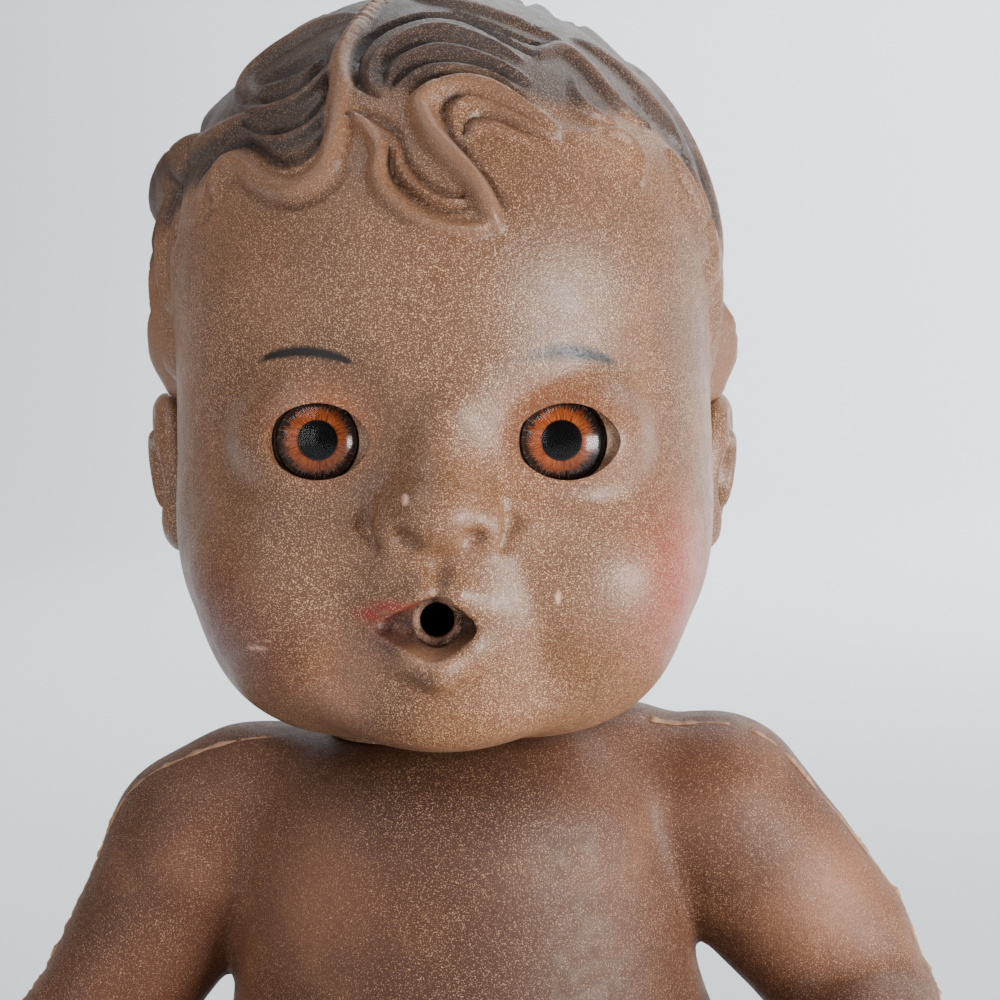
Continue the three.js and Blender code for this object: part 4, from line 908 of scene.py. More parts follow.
def colour(red, green, blue):
    """A linear colour from the 0 to 255 values of a screen."""
    def linear(value):
        share = value / 255
        return share / 12.92 if share <= 0.04045 else ((share + 0.055) / 1.055) ** 2.4
    return (linear(red), linear(green), linear(blue), 1.0)


WHITE = (1, 1, 1, 1)
RUBBER = colour(109, 74, 52)
RUBBER_DARK = colour(91, 61, 43)
RUBBER_WARM = colour(118, 78, 53)
RUBBER_PIT = colour(64, 40, 30)
BODY_RUBBER = colour(94, 57, 39)
BODY_DARK = colour(74, 44, 30)
# Painted shade, for the chin's shadow on the chest
DARK_PAINTED_SHADE = colour(52, 30, 21)
FLECK = colour(216, 172, 132)
SCUFF = colour(214, 170, 150)
SPRAY_BLACK = colour(44, 36, 35)
RIDGE = colour(132, 96, 74)
BLUSH = colour(140, 38, 31)
# Blush darkened with painted shade
BLUSH_IN_PAINTED_SHADE = colour(80, 21, 12)
# Painted light, which lifts lit patches of the face, chest and arm
PALE_PAINTED_LIGHT = colour(146, 98, 74)
AMBER_TINT = colour(150, 76, 38)
CORNER_GREY = colour(138, 114, 96)
BROW = colour(9, 7, 8)
BROW_BLUE = colour(16, 16, 22)
LIP_RED = colour(126, 15, 13)
LIP_PLUM = colour(46, 19, 21)
# Plum darkened with painted shade
LIP_PLUM_AND_PAINTED_SHADE = colour(84, 50, 48)
# Painted highlight
PAINTED_LIP_HIGHLIGHT = colour(176, 128, 104)
TUBE_PALE = colour(138, 102, 86)
TUBE_STAIN = colour(52, 26, 26)
IRIS_STOPS = [(0.36, colour(56, 22, 10)), (0.5, colour(128, 60, 25)), (0.68, colour(176, 98, 52))]
IRIS_HEART = colour(84, 16, 4)
IRIS_EDGE = colour(40, 31, 27)
IRIS_GLINT = colour(140, 124, 112)
EYE_BLACK = colour(26, 22, 20)
PUPIL_BLACK = colour(8, 7, 8)
FLASH_TAN = colour(160, 120, 90)
TIN = colour(176, 172, 164)
BRASS = colour(168, 128, 66)
PAPER = colour(232, 235, 238)

# Washes of colour: tint, strength, centre and radii. On the head the blush and the amber round the eyes are
# paint; the other washes are painted light and painted shade
HEAD_WASHES = [
    (BLUSH, 0.85, (33, -30, 27), (17, 20, 18)),
    # Painted light beside the mouth, on the jaw and on the forehead, all on the doll's right
    (PALE_PAINTED_LIGHT, 0.6, (-12, -42, 17), (9, 10, 11)),
    (PALE_PAINTED_LIGHT, 0.6, (-15, -38, 12), (10, 11, 9)),
    (PALE_PAINTED_LIGHT, 0.4, (-24, -39, 67), (13, 14, 13)),
    # Painted shade on the middle of the forehead and on the inner cheek on the doll's right
    (RUBBER_DARK, 0.4, (0, -46, 72), (20, 16, 14)),
    (RUBBER_DARK, 0.6, (-19, -42, 31), (11, 12, 10)),
    (AMBER_TINT, 0.5, (17.3, -43, 50), (13, 12, 11)),
    (AMBER_TINT, 0.5, (-17.3, -43, 50), (13, 12, 11)),
]
# All of the body's washes are painted light and shade: shade under the chin and down the chest, light on
# the chest on the doll's right and on the arm on the doll's left
BODY_PAINTED_LIGHT_AND_SHADE = [
    (DARK_PAINTED_SHADE, 0.8, (0, -24, 100), (40, 26, 20)),
    (DARK_PAINTED_SHADE, 0.5, (8, -30, 76), (36, 20, 36)),
    (PALE_PAINTED_LIGHT, 0.45, (-22, -30, 84), (16, 16, 20)),
    (PALE_PAINTED_LIGHT, 0.75, (58, -8, 72), (17, 20, 20)),
]
# Paint of the mouth, with painted shade and a painted highlight among it: tint, strength, centre, radii and
# softness of the edge
MOUTH_PAINT = [
    # Plum deepened with painted shade round the mouth's corner on the doll's right, towards the lower lip
    (LIP_PLUM_AND_PAINTED_SHADE, 0.65, (-7.6, -45.0, 20.4), (4.8, 6.0, 4.2), 0.8),
    (LIP_PLUM, 0.95, (-2.4, -43.0, 22.6), (11.0, 5.6, 4.4), 0.4),
    # Painted highlight on the lower lip
    (PAINTED_LIP_HIGHLIGHT, 0.6, (-0.6, -47.4, 17.8), (6.5, 4.0, 2.2), 0.8),
    (LIP_PLUM, 0.7, (-6.6, -46.0, 19.6), (2.6, 6.0, 1.6), 0.8),
    (LIP_RED, 1.0, (-9.4, -45.0, 24.2), (3.8, 6.0, 2.2), 0.8),
    (LIP_RED, 0.9, (-5.8, -46.8, 25.6), (4.4, 6.0, 1.5), 0.7),
]
SCUFFS = [
    ((-25.8, -36.0, 18.6), (2.6, 8.0, 0.9)),
    ((-24.4, -36.0, 19.8), (1.6, 8.0, 0.6)),
    ((16.6, -43.0, 26.4), (0.7, 6.0, 1.5)),
    ((-4.4, -51.0, 40.6), (0.8, 3.0, 1.1)),
]
# Brows: middle, tint, how soft the edge is, and how much of the paint is left at the doll's right end
BROWS = [(-18.6, BROW, 1.4, 1.0), (17.8, BROW_BLUE, 1.9, 0.3)]
BROW_HEIGHT = 60.5
BROW_REACH = 7.2


def speckled(shader, point, ground, sparse=0.0, cover=1.0):
    """Lays the pale flecks of aged rubber over a ground colour. Returns the colour and the flecks' mask."""
    drift = shader.ease(shader.noise(point, 0.06, 3.0), 0.35, 0.65, 0.6, 1.0)
    fine = shader.ease(shader.noise(point, 5.6, 0.0), 0.6 + sparse, 0.69 + sparse)
    bright = shader.ease(shader.noise(point, 3.4, 0.0), 0.77, 0.83)
    pits = shader.ease(shader.noise(point, 4.1, 0.0), 0.46, 0.34)
    ground = shader.mix(pits * 0.4, ground, RUBBER_PIT)
    flecks = (fine * drift).math("MAXIMUM", bright) * cover
    return shader.mix(flecks * 0.75, ground, FLECK), flecks


def rubber_grain(shader, point, flecks):
    """Height of the fine leathery grain that sparkles in the light."""
    return shader.noise(point, 1.6, 3.0) + shader.noise(point, 4.2, 1.0) * 0.55 + flecks * 0.35


def rubber_ground(shader, point, dark, pale):
    broad = shader.noise(point, 0.022, 3.0)
    patchy = shader.noise(point, 0.075, 4.0)
    ground = shader.mix(shader.ease(broad, 0.38, 0.66), dark, pale)
    return shader.mix(shader.ease(patchy, 0.45, 0.75) * 0.55, ground, RUBBER_WARM)


def washed(shader, point, ground, washes):
    """Soft round washes of colour over a ground."""
    for tint, strength, centre, radii in washes:
        ground = shader.mix(shader.blob(point, centre, radii) * strength, ground, tint)
    return ground


def head_rubber():
    shader = Shader("speckled_head_rubber")
    point = shader.point(HEAD_PLACE)
    ground = rubber_ground(shader, point, RUBBER_DARK, RUBBER)
    ground = washed(shader, point, ground, HEAD_WASHES)
    # The blush on the doll's right cheek, deepened with painted shade on that shaded side
    shaded_blush = shader.blob(point, (-31, -33, 21), (19, 22, 17))
    ground = shader.mix(shaded_blush * 0.95, ground, BLUSH_IN_PAINTED_SHADE)
    spray, crest = shader.attribute("spray"), shader.attribute("crest")
    parting = shader.blob(point, MOUTH - vec(1.4, 0, 0.4), (11.5, 8, 6.5), 0.5)
    calm = (parting * 0.75).math("MAXIMUM", crest * 0.4).math("MAXIMUM", shaded_blush * 0.6)
    tinted, flecks = speckled(shader, point, painted_mouth(shader, point, ground), cover=1 - calm)
    worn = shader.noise(point, 0.5, 4.0)
    cover = spray * (1 - shader.ease(crest + worn * 0.5, 0.75, 1.25) * 0.5)
    tinted = shader.mix(crest * (1 - spray) * 0.3, tinted, RIDGE)
    tinted = shader.mix(cover * 0.88, tinted, SPRAY_BLACK)
    tinted = shader.mix(flecks * spray * 0.22, tinted, FLECK)
    # Grooves darkened with the spray's colour: paint gathered in them, and painted shade in the creases
    tinted = shader.mix(shader.attribute("groove") * (0.4 + spray * 0.4), tinted, SPRAY_BLACK)
    tinted = painted_brows(shader, point, tinted)
    rough = shader.ease(shader.noise(point, 0.4, 3.0), 0.3, 0.7, 0.33, 0.44) + spray * 0.08 + parting * 0.2
    grain = rubber_grain(shader, point, flecks)
    sockets = {"Base Color": tinted, "Roughness": rough, "Specular IOR Level": 0.36}
    return shader.finish(sockets, bump=grain, strength=0.42)


def painted_brows(shader, point, ground):
    """Thin arched brows, with the paint faint at the inner end of the doll's left one."""
    x, y, z = shader.parts(point)
    for middle, tint, soft, faint in BROWS:
        along = (x - middle) / BROW_REACH
        arch = BROW_HEIGHT - along * along * 1.5 - along * 0.2
        thin = 0.9 - along * along * 0.55
        near = shader.ease((z - arch).math("ABSOLUTE") / thin, 0.35, soft, 0.97, 0.0)
        ends = shader.ease(along.math("ABSOLUTE"), 0.8, 1.08, 1.0, 0.0)
        ends = ends * shader.ease(along, -1.0, 0.2, faint, 1.0)
        front = shader.ease(y, -20, -25)
        ground = shader.mix(near * ends * front, ground, tint)
    return ground


def painted_mouth(shader, point, ground):
    """What is left of the red on the upper lip, plum in the parting deepened with painted shade round the
    corner on the doll's right, a painted highlight on the lower lip, grey eye corners and pale scuffs.
    """
    patchy = shader.ease(shader.noise(point, 0.7, 4.0), 0.3, 0.6, 0.55, 1.0)
    for tint, strength, centre, radii, soft in MOUTH_PAINT:
        ground = shader.mix(shader.blob(point, centre, radii, soft) * patchy * strength, ground, tint)
    for side in (-1, 1):
        corner = shader.blob(point, (EYE[0] * side + 6.8, -41.6, EYE[2]), (2.2, 1.3, 3.0), 0.4)
        ground = shader.mix(corner * 0.6, ground, CORNER_GREY)
    worn = shader.ease(shader.noise(point, 1.2, 2.0), 0.36, 0.46)
    for centre, radii in SCUFFS:
        ground = shader.mix(shader.blob(point, centre, radii, 0.7) * worn, ground, SCUFF)
    return ground


def body_rubber():
    shader = Shader("speckled_body_rubber")
    point = shader.point(BODY_PLACE)
    ground = rubber_ground(shader, point, BODY_DARK, BODY_RUBBER)
    # Painted light and painted shade over the body's ground
    ground = washed(shader, point, ground, BODY_PAINTED_LIGHT_AND_SHADE)
    tinted, flecks = speckled(shader, point, ground, sparse=0.03, cover=0.6)
    rough = shader.ease(shader.noise(point, 0.4, 3.0), 0.3, 0.7, 0.5, 0.62)
    grain = rubber_grain(shader, point, flecks)
    sockets = {"Base Color": tinted, "Roughness": rough, "Specular IOR Level": 0.32}
    return shader.finish(sockets, bump=grain, strength=0.42)


def tube_rubber():
    """Pale rubber, stained plum in patches."""
    shader = Shader("stained_pale_rubber")
    point = shader.point(HEAD_PLACE)
    stains = shader.ease(shader.noise(point, 0.35, 4.0), 0.42, 0.56)
    tinted, flecks = speckled(shader, point, shader.mix(stains, TUBE_PALE, TUBE_STAIN))
    sockets = {"Base Color": tinted, "Roughness": 0.6, "Specular IOR Level": 0.3}
    return shader.finish(sockets, bump=rubber_grain(shader, point, flecks), strength=0.4)


def plain(name, shade, roughness, metallic=0.0, specular=0.5):
    """A simple finish whose shade and gloss drift a little over the surface."""
    shader = Shader(name)
    point = shader.point(BODY_PLACE)
    drift = shader.noise(point, 0.6, 4.0)
    dark = tuple(0.6 * value for value in shade[:3]) + (1.0,)
    sockets = {
        "Base Color": shader.mix(shader.ease(drift, 0.35, 0.7), dark, shade),
        "Roughness": shader.ease(drift, 0.3, 0.7, roughness * 0.8, roughness * 1.25),
        "Metallic": metallic,
        "Specular IOR Level": specular,
    }
    return shader.finish(sockets, bump=shader.noise(point, 3.0, 2.0), strength=0.1)


def iris_print():
    """Streaks from the pupil outwards on a disc that is mapped flat, with a dark and ragged rim."""
    shader = Shader("streaked_amber_iris")
    across, up, _ = shader.parts(shader.node("ShaderNodeUVMap", {"uv_map": "disc"}))
    x, y = across - 0.5, up - 0.5
    reach = (x * x + y * y).math("SQRT") * 2
    turn = x.math("ARCTAN2", y)
    ray = shader.node("ShaderNodeCombineXYZ", {}, {0: turn * 7.0, 1: reach * 1.2})
    streak = shader.noise(ray, 2.4, 4.0, 0.6)
    fine = shader.noise(ray, 7.0, 2.0)
    mixed = streak * 0.7 + fine * 0.3
    amber = shader.node("ShaderNodeValToRGB", {"stops": IRIS_STOPS}, {"Fac": mixed}, "Color")
    rim = shader.ease(reach + (streak - 0.5) * 0.8, 0.75, 0.85)
    heart = shader.ease(reach, 0.56, 0.46)
    glint = shader.ease(shader.noise(ray, 3.6, 3.0), 0.58, 0.68) * 0.6
    edge = shader.mix(glint, IRIS_EDGE, IRIS_GLINT)
    tinted = shader.mix(rim, shader.mix(heart * 0.7, amber, IRIS_HEART), edge)
    return shader.finish({"Base Color": tinted, "Roughness": 0.5, "Specular IOR Level": 0.0})


def clear_lens():
    """Clear dome: light passes straight through, and the outer face's gloss follows the angle."""
    shader = Shader("clear_lens")
    clear = shader.node("ShaderNodeBsdfTransparent", {}, {"Color": WHITE})
    gloss = shader.node("ShaderNodeBsdfGlossy", {}, {"Color": WHITE, "Roughness": 0.17})
    inner = shader.node("ShaderNodeNewGeometry", {}, {}, "Backfacing")
    share = shader.node("ShaderNodeFresnel", {}, {"IOR": 1.45}) * (1 - inner) * 0.6
    both = shader.node("ShaderNodeMixShader", {}, {0: share, 1: clear, 2: gloss})
    shader.node("ShaderNodeOutputMaterial", {}, {"Surface": both})
    return shader.material


# Settings that a user would change


class DollSettings(bpy.types.PropertyGroup):
    head_cell: bpy.props.FloatProperty(
        name="Head fineness", description="Size of the facets of the head's skin, in millimetres",
        default=1.1, min=0.4)
    body_cell: bpy.props.FloatProperty(
        name="Body fineness", description="Size of the facets of the body's skin, in millimetres",
        default=1.25, min=0.6)
    rounds: bpy.props.IntProperty(
        name="Segments", description="Sides of the turned pieces", default=64, min=16)
    floor_size: bpy.props.FloatProperty(
        name="Floor", description="Side of the floor", default=4.0, subtype="DISTANCE", unit="LENGTH")
    floor_shade: bpy.props.FloatVectorProperty(
        name="Floor shade", description="Colour of the floor and the sweep",
        default=PAPER[:3], size=3, subtype="COLOR")
    light_power: bpy.props.FloatProperty(
        name="Light", description="Power that the lights share", default=9.0, subtype="POWER", unit="POWER")


def chosen():
    return bpy.context.scene.doll


# Head and what it holds

HEAD_BOX = ((-53, -60, -4), (53, 62, 126))
HEAD_CAVITY_CELL = 3.5
HEAD_DRAW_LIMIT = 0.5
BOSS_SIDES = 24
BOSS_TOP = 2
# Paint is kept to the outer skin, and is full on crests and grooves of these sizes.
SKIN_DEPTH = 1.5
CREST_HEIGHT = 1.6
GROOVE_DEPTH = 0.9
ALMOND_WIDTH = 7.5
ALMOND_HEIGHT = 5.4
ALMOND_SHIFT = 0.5
ALMOND_POINT = 1.2
ALMOND_FLOOR = 0.7
ALMOND_TOP = 12
IRIS_RADIUS = 5.7
# Heights in an eye, from the base of its lens
IRIS_SEAT = -1.6
CUP_FLOOR = -1.9
CUP_RIM = -0.3
# Radii and lengths of the tube, the neck and the ears
TUBE_RADIUS = 4.2
TUBE_BORE = 3.0
TUBE_LENGTH = 16.0
TUBE_SHARP_ANGLE = 50
TUBE_BEAD = [(3.9, -0.3), (3.4, 0), (2.8, -0.15), (2.45, -0.7), (2.6, -1.4)]
NECK_LIP = 3.0
NECK_GROOVE = 15
NECK_FLANGE = 18.5
NECK_COLLAR = 19
NECK_HOLE = 12.4
EAR_BOX = ((-6, -10, -16), (6, 10, 16))
EAR_CELL = 0.6
EAR_SPOT = vec(43.7, 5, 41)
EAR_UNEVEN = vec(0.9, 0, 0)
EAR_TURN = Matrix.Rotation(math.radians(-16), 4, "Z") @ Matrix.Rotation(math.radians(6), 4, "Y")
# Turns of +Z to the doll's front and back
TO_FRONT = Matrix.Rotation(math.pi / 2, 4, "X")
TO_BACK = Matrix.Rotation(-math.pi / 2, 4, "X")


def eye_place(side):
    """Frame of an eye: its origin in the middle of the lens's base, +Z out of the face."""
    spot = Matrix.Translation(EYE * vec(side, 1, 1))
    return HEAD_PLACE @ spot @ Matrix.Rotation(side * EYE_TURN, 4, "Z") @ TO_FRONT


def tube_place():
    return HEAD_PLACE @ Matrix.Translation(MOUTH) @ TO_FRONT


def eye_opening(side):
    """The almond between the lids, down to the lens's base, and the pocket behind it."""
    place = eye_place(side)
    rounds = chosen().rounds
    floor, wide, narrow = -CUP_DEPTH - FIT_GAP, CUP_RADIUS + FIT_GAP, LENS_RADIUS + FIT_GAP
    profile = [(0, floor), (wide, floor), (wide, FIT_GAP), (narrow, FIT_GAP),
               *dome(narrow, LENS_RISE, FIT_GAP + LENS_INSET, 8)]
    pocket = revolved("pocket", profile, rounds, place)
    outline = []
    for i in range(rounds):
        turn = 2 * math.pi * i / rounds
        rise = math.copysign(abs(math.sin(turn)) ** ALMOND_POINT, math.sin(turn))
        outline.append((ALMOND_SHIFT + ALMOND_WIDTH * math.cos(turn), ALMOND_HEIGHT * rise))
    points = [(x, y, height) for height in (ALMOND_FLOOR, ALMOND_TOP) for x, y in outline]
    faces = [list(range(rounds))[::-1], list(range(rounds, 2 * rounds))]
    faces += [[i, (i + 1) % rounds, rounds + (i + 1) % rounds, rounds + i] for i in range(rounds)]
    return [pocket, mesh_object("almond", points, faces, place)]


def neck_plug():
    """The head's neck: a groove for the body's lip between a collar and a flange."""
    top = -NECK_LIP - FIT_GAP
    profile = [(0, top - 3), (NECK_FLANGE - 1, top - 3), (NECK_FLANGE, top - 1), (NECK_FLANGE, top),
               (NECK_GROOVE, top), (NECK_GROOVE, FIT_GAP), (NECK_COLLAR, FIT_GAP), (NECK_COLLAR, 13),
               (0, 13)]
    return revolved("neck_plug", profile, chosen().rounds, NECK_PLACE)


def neck_bore():
    return revolved("neck_bore", stepped(-8, (NECK_HOLE, 18)), chosen().rounds, NECK_PLACE)


def ear(side):
    mirror = Matrix.Diagonal((side, 1, 1, 1))
    spot = Matrix.Translation(EAR_SPOT - side * EAR_UNEVEN) @ EAR_TURN
    made = skin_object("ear", ear_form, EAR_BOX, EAR_CELL, HEAD_PLACE @ mirror @ spot)
    if side < 0:
        made.data.flip_normals()
    return made


class DOLL_OT_head(bpy.types.Operator):
    """Moulds the hollow head with its hair, ears, lids, nose and lips"""
    bl_idname = "doll.head"
    bl_label = "Head"

    def execute(self, context):
        head = skin_object("head", head_form, HEAD_BOX, chosen().head_cell, HEAD_PLACE)
        self.refine(head)
        self.raise_hair(head)
        combined(head, "UNION", ear(1), ear(-1), neck_plug())
        cuts = [self.cavity(), neck_bore(), self.mouth_hole()]
        combined(head, "DIFFERENCE", *cuts, *eye_opening(1), *eye_opening(-1))
        self.mark_hair(head)
        smoothed(head)
        settled(head, "head", "head_shell", head_rubber())
        return {"FINISHED"}

    @staticmethod
    def refine(head):
        """Halves the facets of the front hair, the eyes, the nose and the mouth."""
        points = local_points(head, HEAD_PLACE)
        x, y, z = points.T
        turn, rise = turn_and_rise(unit(points - HEAD_MIDDLE))
        hair = (np.abs(turn) < 70) & (rise > np.where(np.abs(turn) < 20, 9, 14)) & (rise < 84)
        face = (y < -36) & (np.abs(x) < 27) & (z > 13) & (z < 58)
        wanted = hair | face
        detail = bmesh.new()
        detail.from_mesh(head.data)
        edges = [edge for edge in detail.edges if all(wanted[vertex.index] for vertex in edge.verts)]
        bmesh.ops.subdivide_edges(detail, edges=edges, cuts=1, use_grid_fill=True)
        detail.to_mesh(head.data)
        detail.free()

    @staticmethod
    def raise_hair(head):
        points = drawn_on(head_form, local_points(head, HEAD_PLACE), HEAD_DRAW_LIMIT)
        normals = unit(slope_of(head_form, points))
        place_points(head, points + normals * Hair(points).relief[:, None], HEAD_PLACE)

    @staticmethod
    def cavity():
        """The hollow of the head, with rubber left round the eyes and the tube."""
        cavity = hollow_object(head_form, HEAD_BOX, HEAD_CAVITY_CELL, HEAD_PLACE)
        boss = stepped(-CUP_DEPTH - WALL, (CUP_RADIUS + WALL, BOSS_TOP))
        bosses = [revolved("boss", boss, BOSS_SIDES, eye_place(side)) for side in (-1, 1)]
        boss = stepped(-2 * WALL, (TUBE_RADIUS + 2 * WALL, 8))
        return combined(cavity, "DIFFERENCE", *bosses, revolved("boss", boss, BOSS_SIDES, tube_place()))

    @staticmethod
    def mouth_hole():
        profile = stepped(-TUBE_LENGTH - 10, (TUBE_RADIUS + FIT_GAP, FIT_GAP), (TUBE_RADIUS - 0.6, 5))
        return revolved("mouth", profile, chosen().rounds, tube_place())

    @staticmethod
    def mark_hair(head):
        """Stores where the hair has crests, grooves and spray, for the head's material."""
        points = local_points(head, HEAD_PLACE)
        hair = Hair(points)
        outside = head_form(points) > -SKIN_DEPTH
        give(head, "crest", np.clip(hair.ridges / CREST_HEIGHT, 0, 1.5))
        give(head, "groove", outside * np.clip(hair.grooves / GROOVE_DEPTH, 0, 1))
        give(head, "spray", outside * hair.spray)


class DOLL_OT_eyes(bpy.types.Operator):
    """Sets the two eyes: dark cup, streaked iris, black pupil and clear lens"""
    bl_idname = "doll.eyes"
    bl_label = "Eyes"

    def execute(self, context):
        inner = CUP_RADIUS - 0.7
        cup = [(0, -CUP_DEPTH), (5, -CUP_DEPTH), (CUP_RADIUS, -3.3), (CUP_RADIUS, CUP_RIM),
               (inner, CUP_RIM), (inner, CUP_FLOOR), (0, CUP_FLOOR)]
        iris = [(2.9, IRIS_SEAT), (IRIS_RADIUS, IRIS_SEAT), (IRIS_RADIUS, -0.9), (2.9, -1.1)]
        pupil = [(0, IRIS_SEAT), (2.6, IRIS_SEAT), (2.6, -0.9), (1.8, -0.55), (0, -0.4)]
        lens = [(0, 0.06), (4.5, 0.04), (LENS_RADIUS, 0), *dome(LENS_RADIUS, LENS_RISE, LENS_INSET, 14)]
        black = plain("black_eye_cup", EYE_BLACK, 0.4, specular=0.1)
        jet = plain("jet_pupil", PUPIL_BLACK, 0.5, specular=0.0)
        parts = (
            ("eye_cup", cup, "black_acetate", black),
            ("iris", iris, "amber_print", iris_print()),
            ("pupil", pupil, "black_acetate", jet),
            ("eye_lens", lens, "clear_acetate", clear_lens()),
        )
        for name, side in SIDES.items():
            place = eye_place(side)
            for part, profile, slot, material in parts:
                piece = turned(f"{name}_{part}", profile, chosen().rounds, place, "head", material)
                if part == "iris":
                    self.flat_map(piece, place)
        return {"FINISHED"}

    @staticmethod
    def flat_map(piece, place):
        """Maps an iris straight down onto its face."""
        points = local_points(piece, place)[:, :2] / (2 * IRIS_RADIUS) + 0.5
        layer = piece.data.uv_layers.new(name="disc")
        corners = np.empty(len(piece.data.loops), dtype=int)
        piece.data.loops.foreach_get("vertex_index", corners)
        layer.data.foreach_set("uv", points[corners].ravel())


class DOLL_OT_mouth_tube(bpy.types.Operator):
    """Fits the soft drinking tube behind the lips, with a rolled bead at its mouth"""
    bl_idname = "doll.mouth_tube"
    bl_label = "Drinking tube"

    def execute(self, context):
        profile = [(TUBE_BORE, -TUBE_LENGTH), (TUBE_RADIUS, -TUBE_LENGTH), (TUBE_RADIUS, -0.9), *TUBE_BEAD,
                   (TUBE_BORE, -2.4)]
        turned("drinking_tube", profile, chosen().rounds, tube_place(), "head",
               tube_rubber(), TUBE_SHARP_ANGLE)
        return {"FINISHED"}


# Body and what it holds

BODY_BOX = ((-82, -138, -5), (82, 46, 112))
BODY_CAVITY_CELL = 4.0
GROUND_REACH = 200
GROUND_DEPTH = -30
HOLE_SIDES = 32
FLASH_INPUTS = {
    "Path": "Geometry", "Radius": "Float", "Raggedness": "Float", "Spacing": "Float",
    "Material": "Material",
}
FLASH = {"Radius": 0.3 * MM, "Raggedness": 2.4, "Spacing": 0.5 * MM}
CAP_HOLES = 6
CAP_HOLE_RING = 3.8
CAP_HOLE_SIDES = 20
EYELET_SIDES = 48
EYELET_SHARP_ANGLE = 60
EYELET_RISE = 0.9


def whistle_place():
    low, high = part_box("whistle_cup")
    middle = Vector(((low[0] + high[0]) / 2, high[1], (low[2] + high[2]) / 2))
    return Matrix.Translation(middle) @ TO_BACK @ BODY_PLACE


def drain_place():
    low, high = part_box("drain_eyelet")
    middle = Vector(((low[0] + high[0]) / 2, low[1] + EYELET_RISE * MM, (low[2] + high[2]) / 2))
    return Matrix.Translation(middle) @ TO_FRONT @ BODY_PLACE


class DOLL_OT_body(bpy.types.Operator):
    """Moulds the hollow body with its arms and legs in one piece"""
    bl_idname = "doll.body"
    bl_label = "Body"

    def execute(self, context):
        body = skin_object("body", body_form, BODY_BOX, chosen().body_cell, BODY_PLACE)
        cavity = self.cavity()
        combined(body, "DIFFERENCE", self.below(0), cavity, self.neck_opening(), *self.fitting_holes())
        smoothed(body)
        settled(body, "body", "body_shell", body_rubber())
        return {"FINISHED"}

    def cavity(self):
        """The hollow of the body, with rubber left under it, round the whistle and round the neck's lip."""
        cavity = hollow_object(body_form, BODY_BOX, BODY_CAVITY_CELL, BODY_PLACE)
        boss = revolved("boss", stepped(-8, (10, 0)), HOLE_SIDES, whistle_place())
        roof = revolved("roof", stepped(-NECK_LIP, (38, 14)), chosen().rounds, NECK_PLACE)
        return combined(cavity, "DIFFERENCE", self.below(WALL), boss, roof)

    @staticmethod
    def below(height):
        """All that lies below a height: the doll sits flat."""
        reach = GROUND_REACH
        corners = ((-reach, -reach), (reach, -reach), (reach, reach), (-reach, reach))
        points = [(x, y, z) for z in (GROUND_DEPTH, height) for x, y in corners]
        faces = [(3, 2, 1, 0), (4, 5, 6, 7), (0, 1, 5, 4), (1, 2, 6, 5), (2, 3, 7, 6), (3, 0, 4, 7)]
        return mesh_object("below", points, faces, BODY_PLACE)

    @staticmethod
    def neck_opening():
        """The hole for the head's groove, and under the lip a chamber for its flange."""
        profile = stepped(-14, (19.7, -NECK_LIP), (NECK_GROOVE + FIT_GAP, 6))
        return revolved("neck_opening", profile, chosen().rounds, NECK_PLACE)

    @staticmethod
    def fitting_holes():
        whistle, drain = stepped(-14.6, (7.8, -1.2), (9, 6)), stepped(-8.1, (2.4, 0), (3.8, 6))
        return (revolved("whistle_hole", whistle, chosen().rounds, whistle_place()),
                revolved("drain_hole", drain, HOLE_SIDES, drain_place()))


def flash_nodes():
    """A node group that sweeps a ragged bead along a path, for the flash on a mould's parting line."""
    group = bpy.data.node_groups.new("mould_flash", "GeometryNodeTree")
    for name, kind in FLASH_INPUTS.items():
        group.interface.new_socket(name, in_out="INPUT", socket_type=f"NodeSocket{kind}")
    group.interface.new_socket("Flash", in_out="OUTPUT", socket_type="NodeSocketGeometry")

    def node(kind, choices=None, **links):
        made = group.nodes.new(kind)
        for key, value in (choices or {}).items():
            setattr(made, key, value)
        for key, value in links.items():
            socket = made.inputs[key.replace("_", " ")]
            if isinstance(value, bpy.types.NodeSocket):
                group.links.new(value, socket)
            else:
                socket.default_value = value
        return made.outputs

    given = node("NodeGroupInput")
    curve = node("GeometryNodeMeshToCurve", Mesh=given["Path"])[0]
    curve = node("GeometryNodeResampleCurve", {"mode": "LENGTH"}, Curve=curve, Length=given["Spacing"])[0]
    ragged = node("ShaderNodeTexNoise", Scale=260.0, Detail=5.0, Roughness=0.75)["Fac"]
    swell = node("ShaderNodeMapRange", Value=ragged, From_Min=0.42, From_Max=0.68, To_Min=0.15,
                 To_Max=given["Raggedness"])[0]
    ring = node("GeometryNodeCurvePrimitiveCircle", Resolution=8, Radius=given["Radius"])[0]
    bead = node("GeometryNodeCurveToMesh", Curve=curve, Profile_Curve=ring, Scale=swell, Fill_Caps=True)[0]
    bead = node("GeometryNodeSetShadeSmooth", Geometry=bead)[0]
    bead = node("GeometryNodeRealizeInstances", Geometry=bead)[0]
    bead = node("GeometryNodeSetMaterial", Geometry=bead, Material=given["Material"])[0]
    node("NodeGroupOutput", Flash=bead)
    return group


class DOLL_OT_seam(bpy.types.Operator):
    """Runs the ragged flash of the mould's parting line over the shoulders and down the arms"""
    bl_idname = "doll.seam"
    bl_label = "Parting line"

    def execute(self, context):
        group = flash_nodes()
        values = {**FLASH, "Material": plain("tan_flash", FLASH_TAN, 0.6)}
        sockets = group.interface.items_tree
        names = {item.name: item.identifier for item in sockets if item.in_out == "INPUT"}
        for name, side in SIDES.items():
            route = seam_route(side)
            piece = mesh_object(f"{name}_flash", route, [], BODY_PLACE)
            links = np.array([(i, i + 1) for i in range(len(route) - 1)])
            piece.data.edges.add(len(links))
            piece.data.edges.foreach_set("vertices", links.ravel())
            modifier = piece.modifiers.new("flash", "NODES")
            modifier.node_group = group
            for key, value in values.items():
                modifier[names[key]] = value
            applied(piece)
            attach(piece, "body")
        return {"FINISHED"}


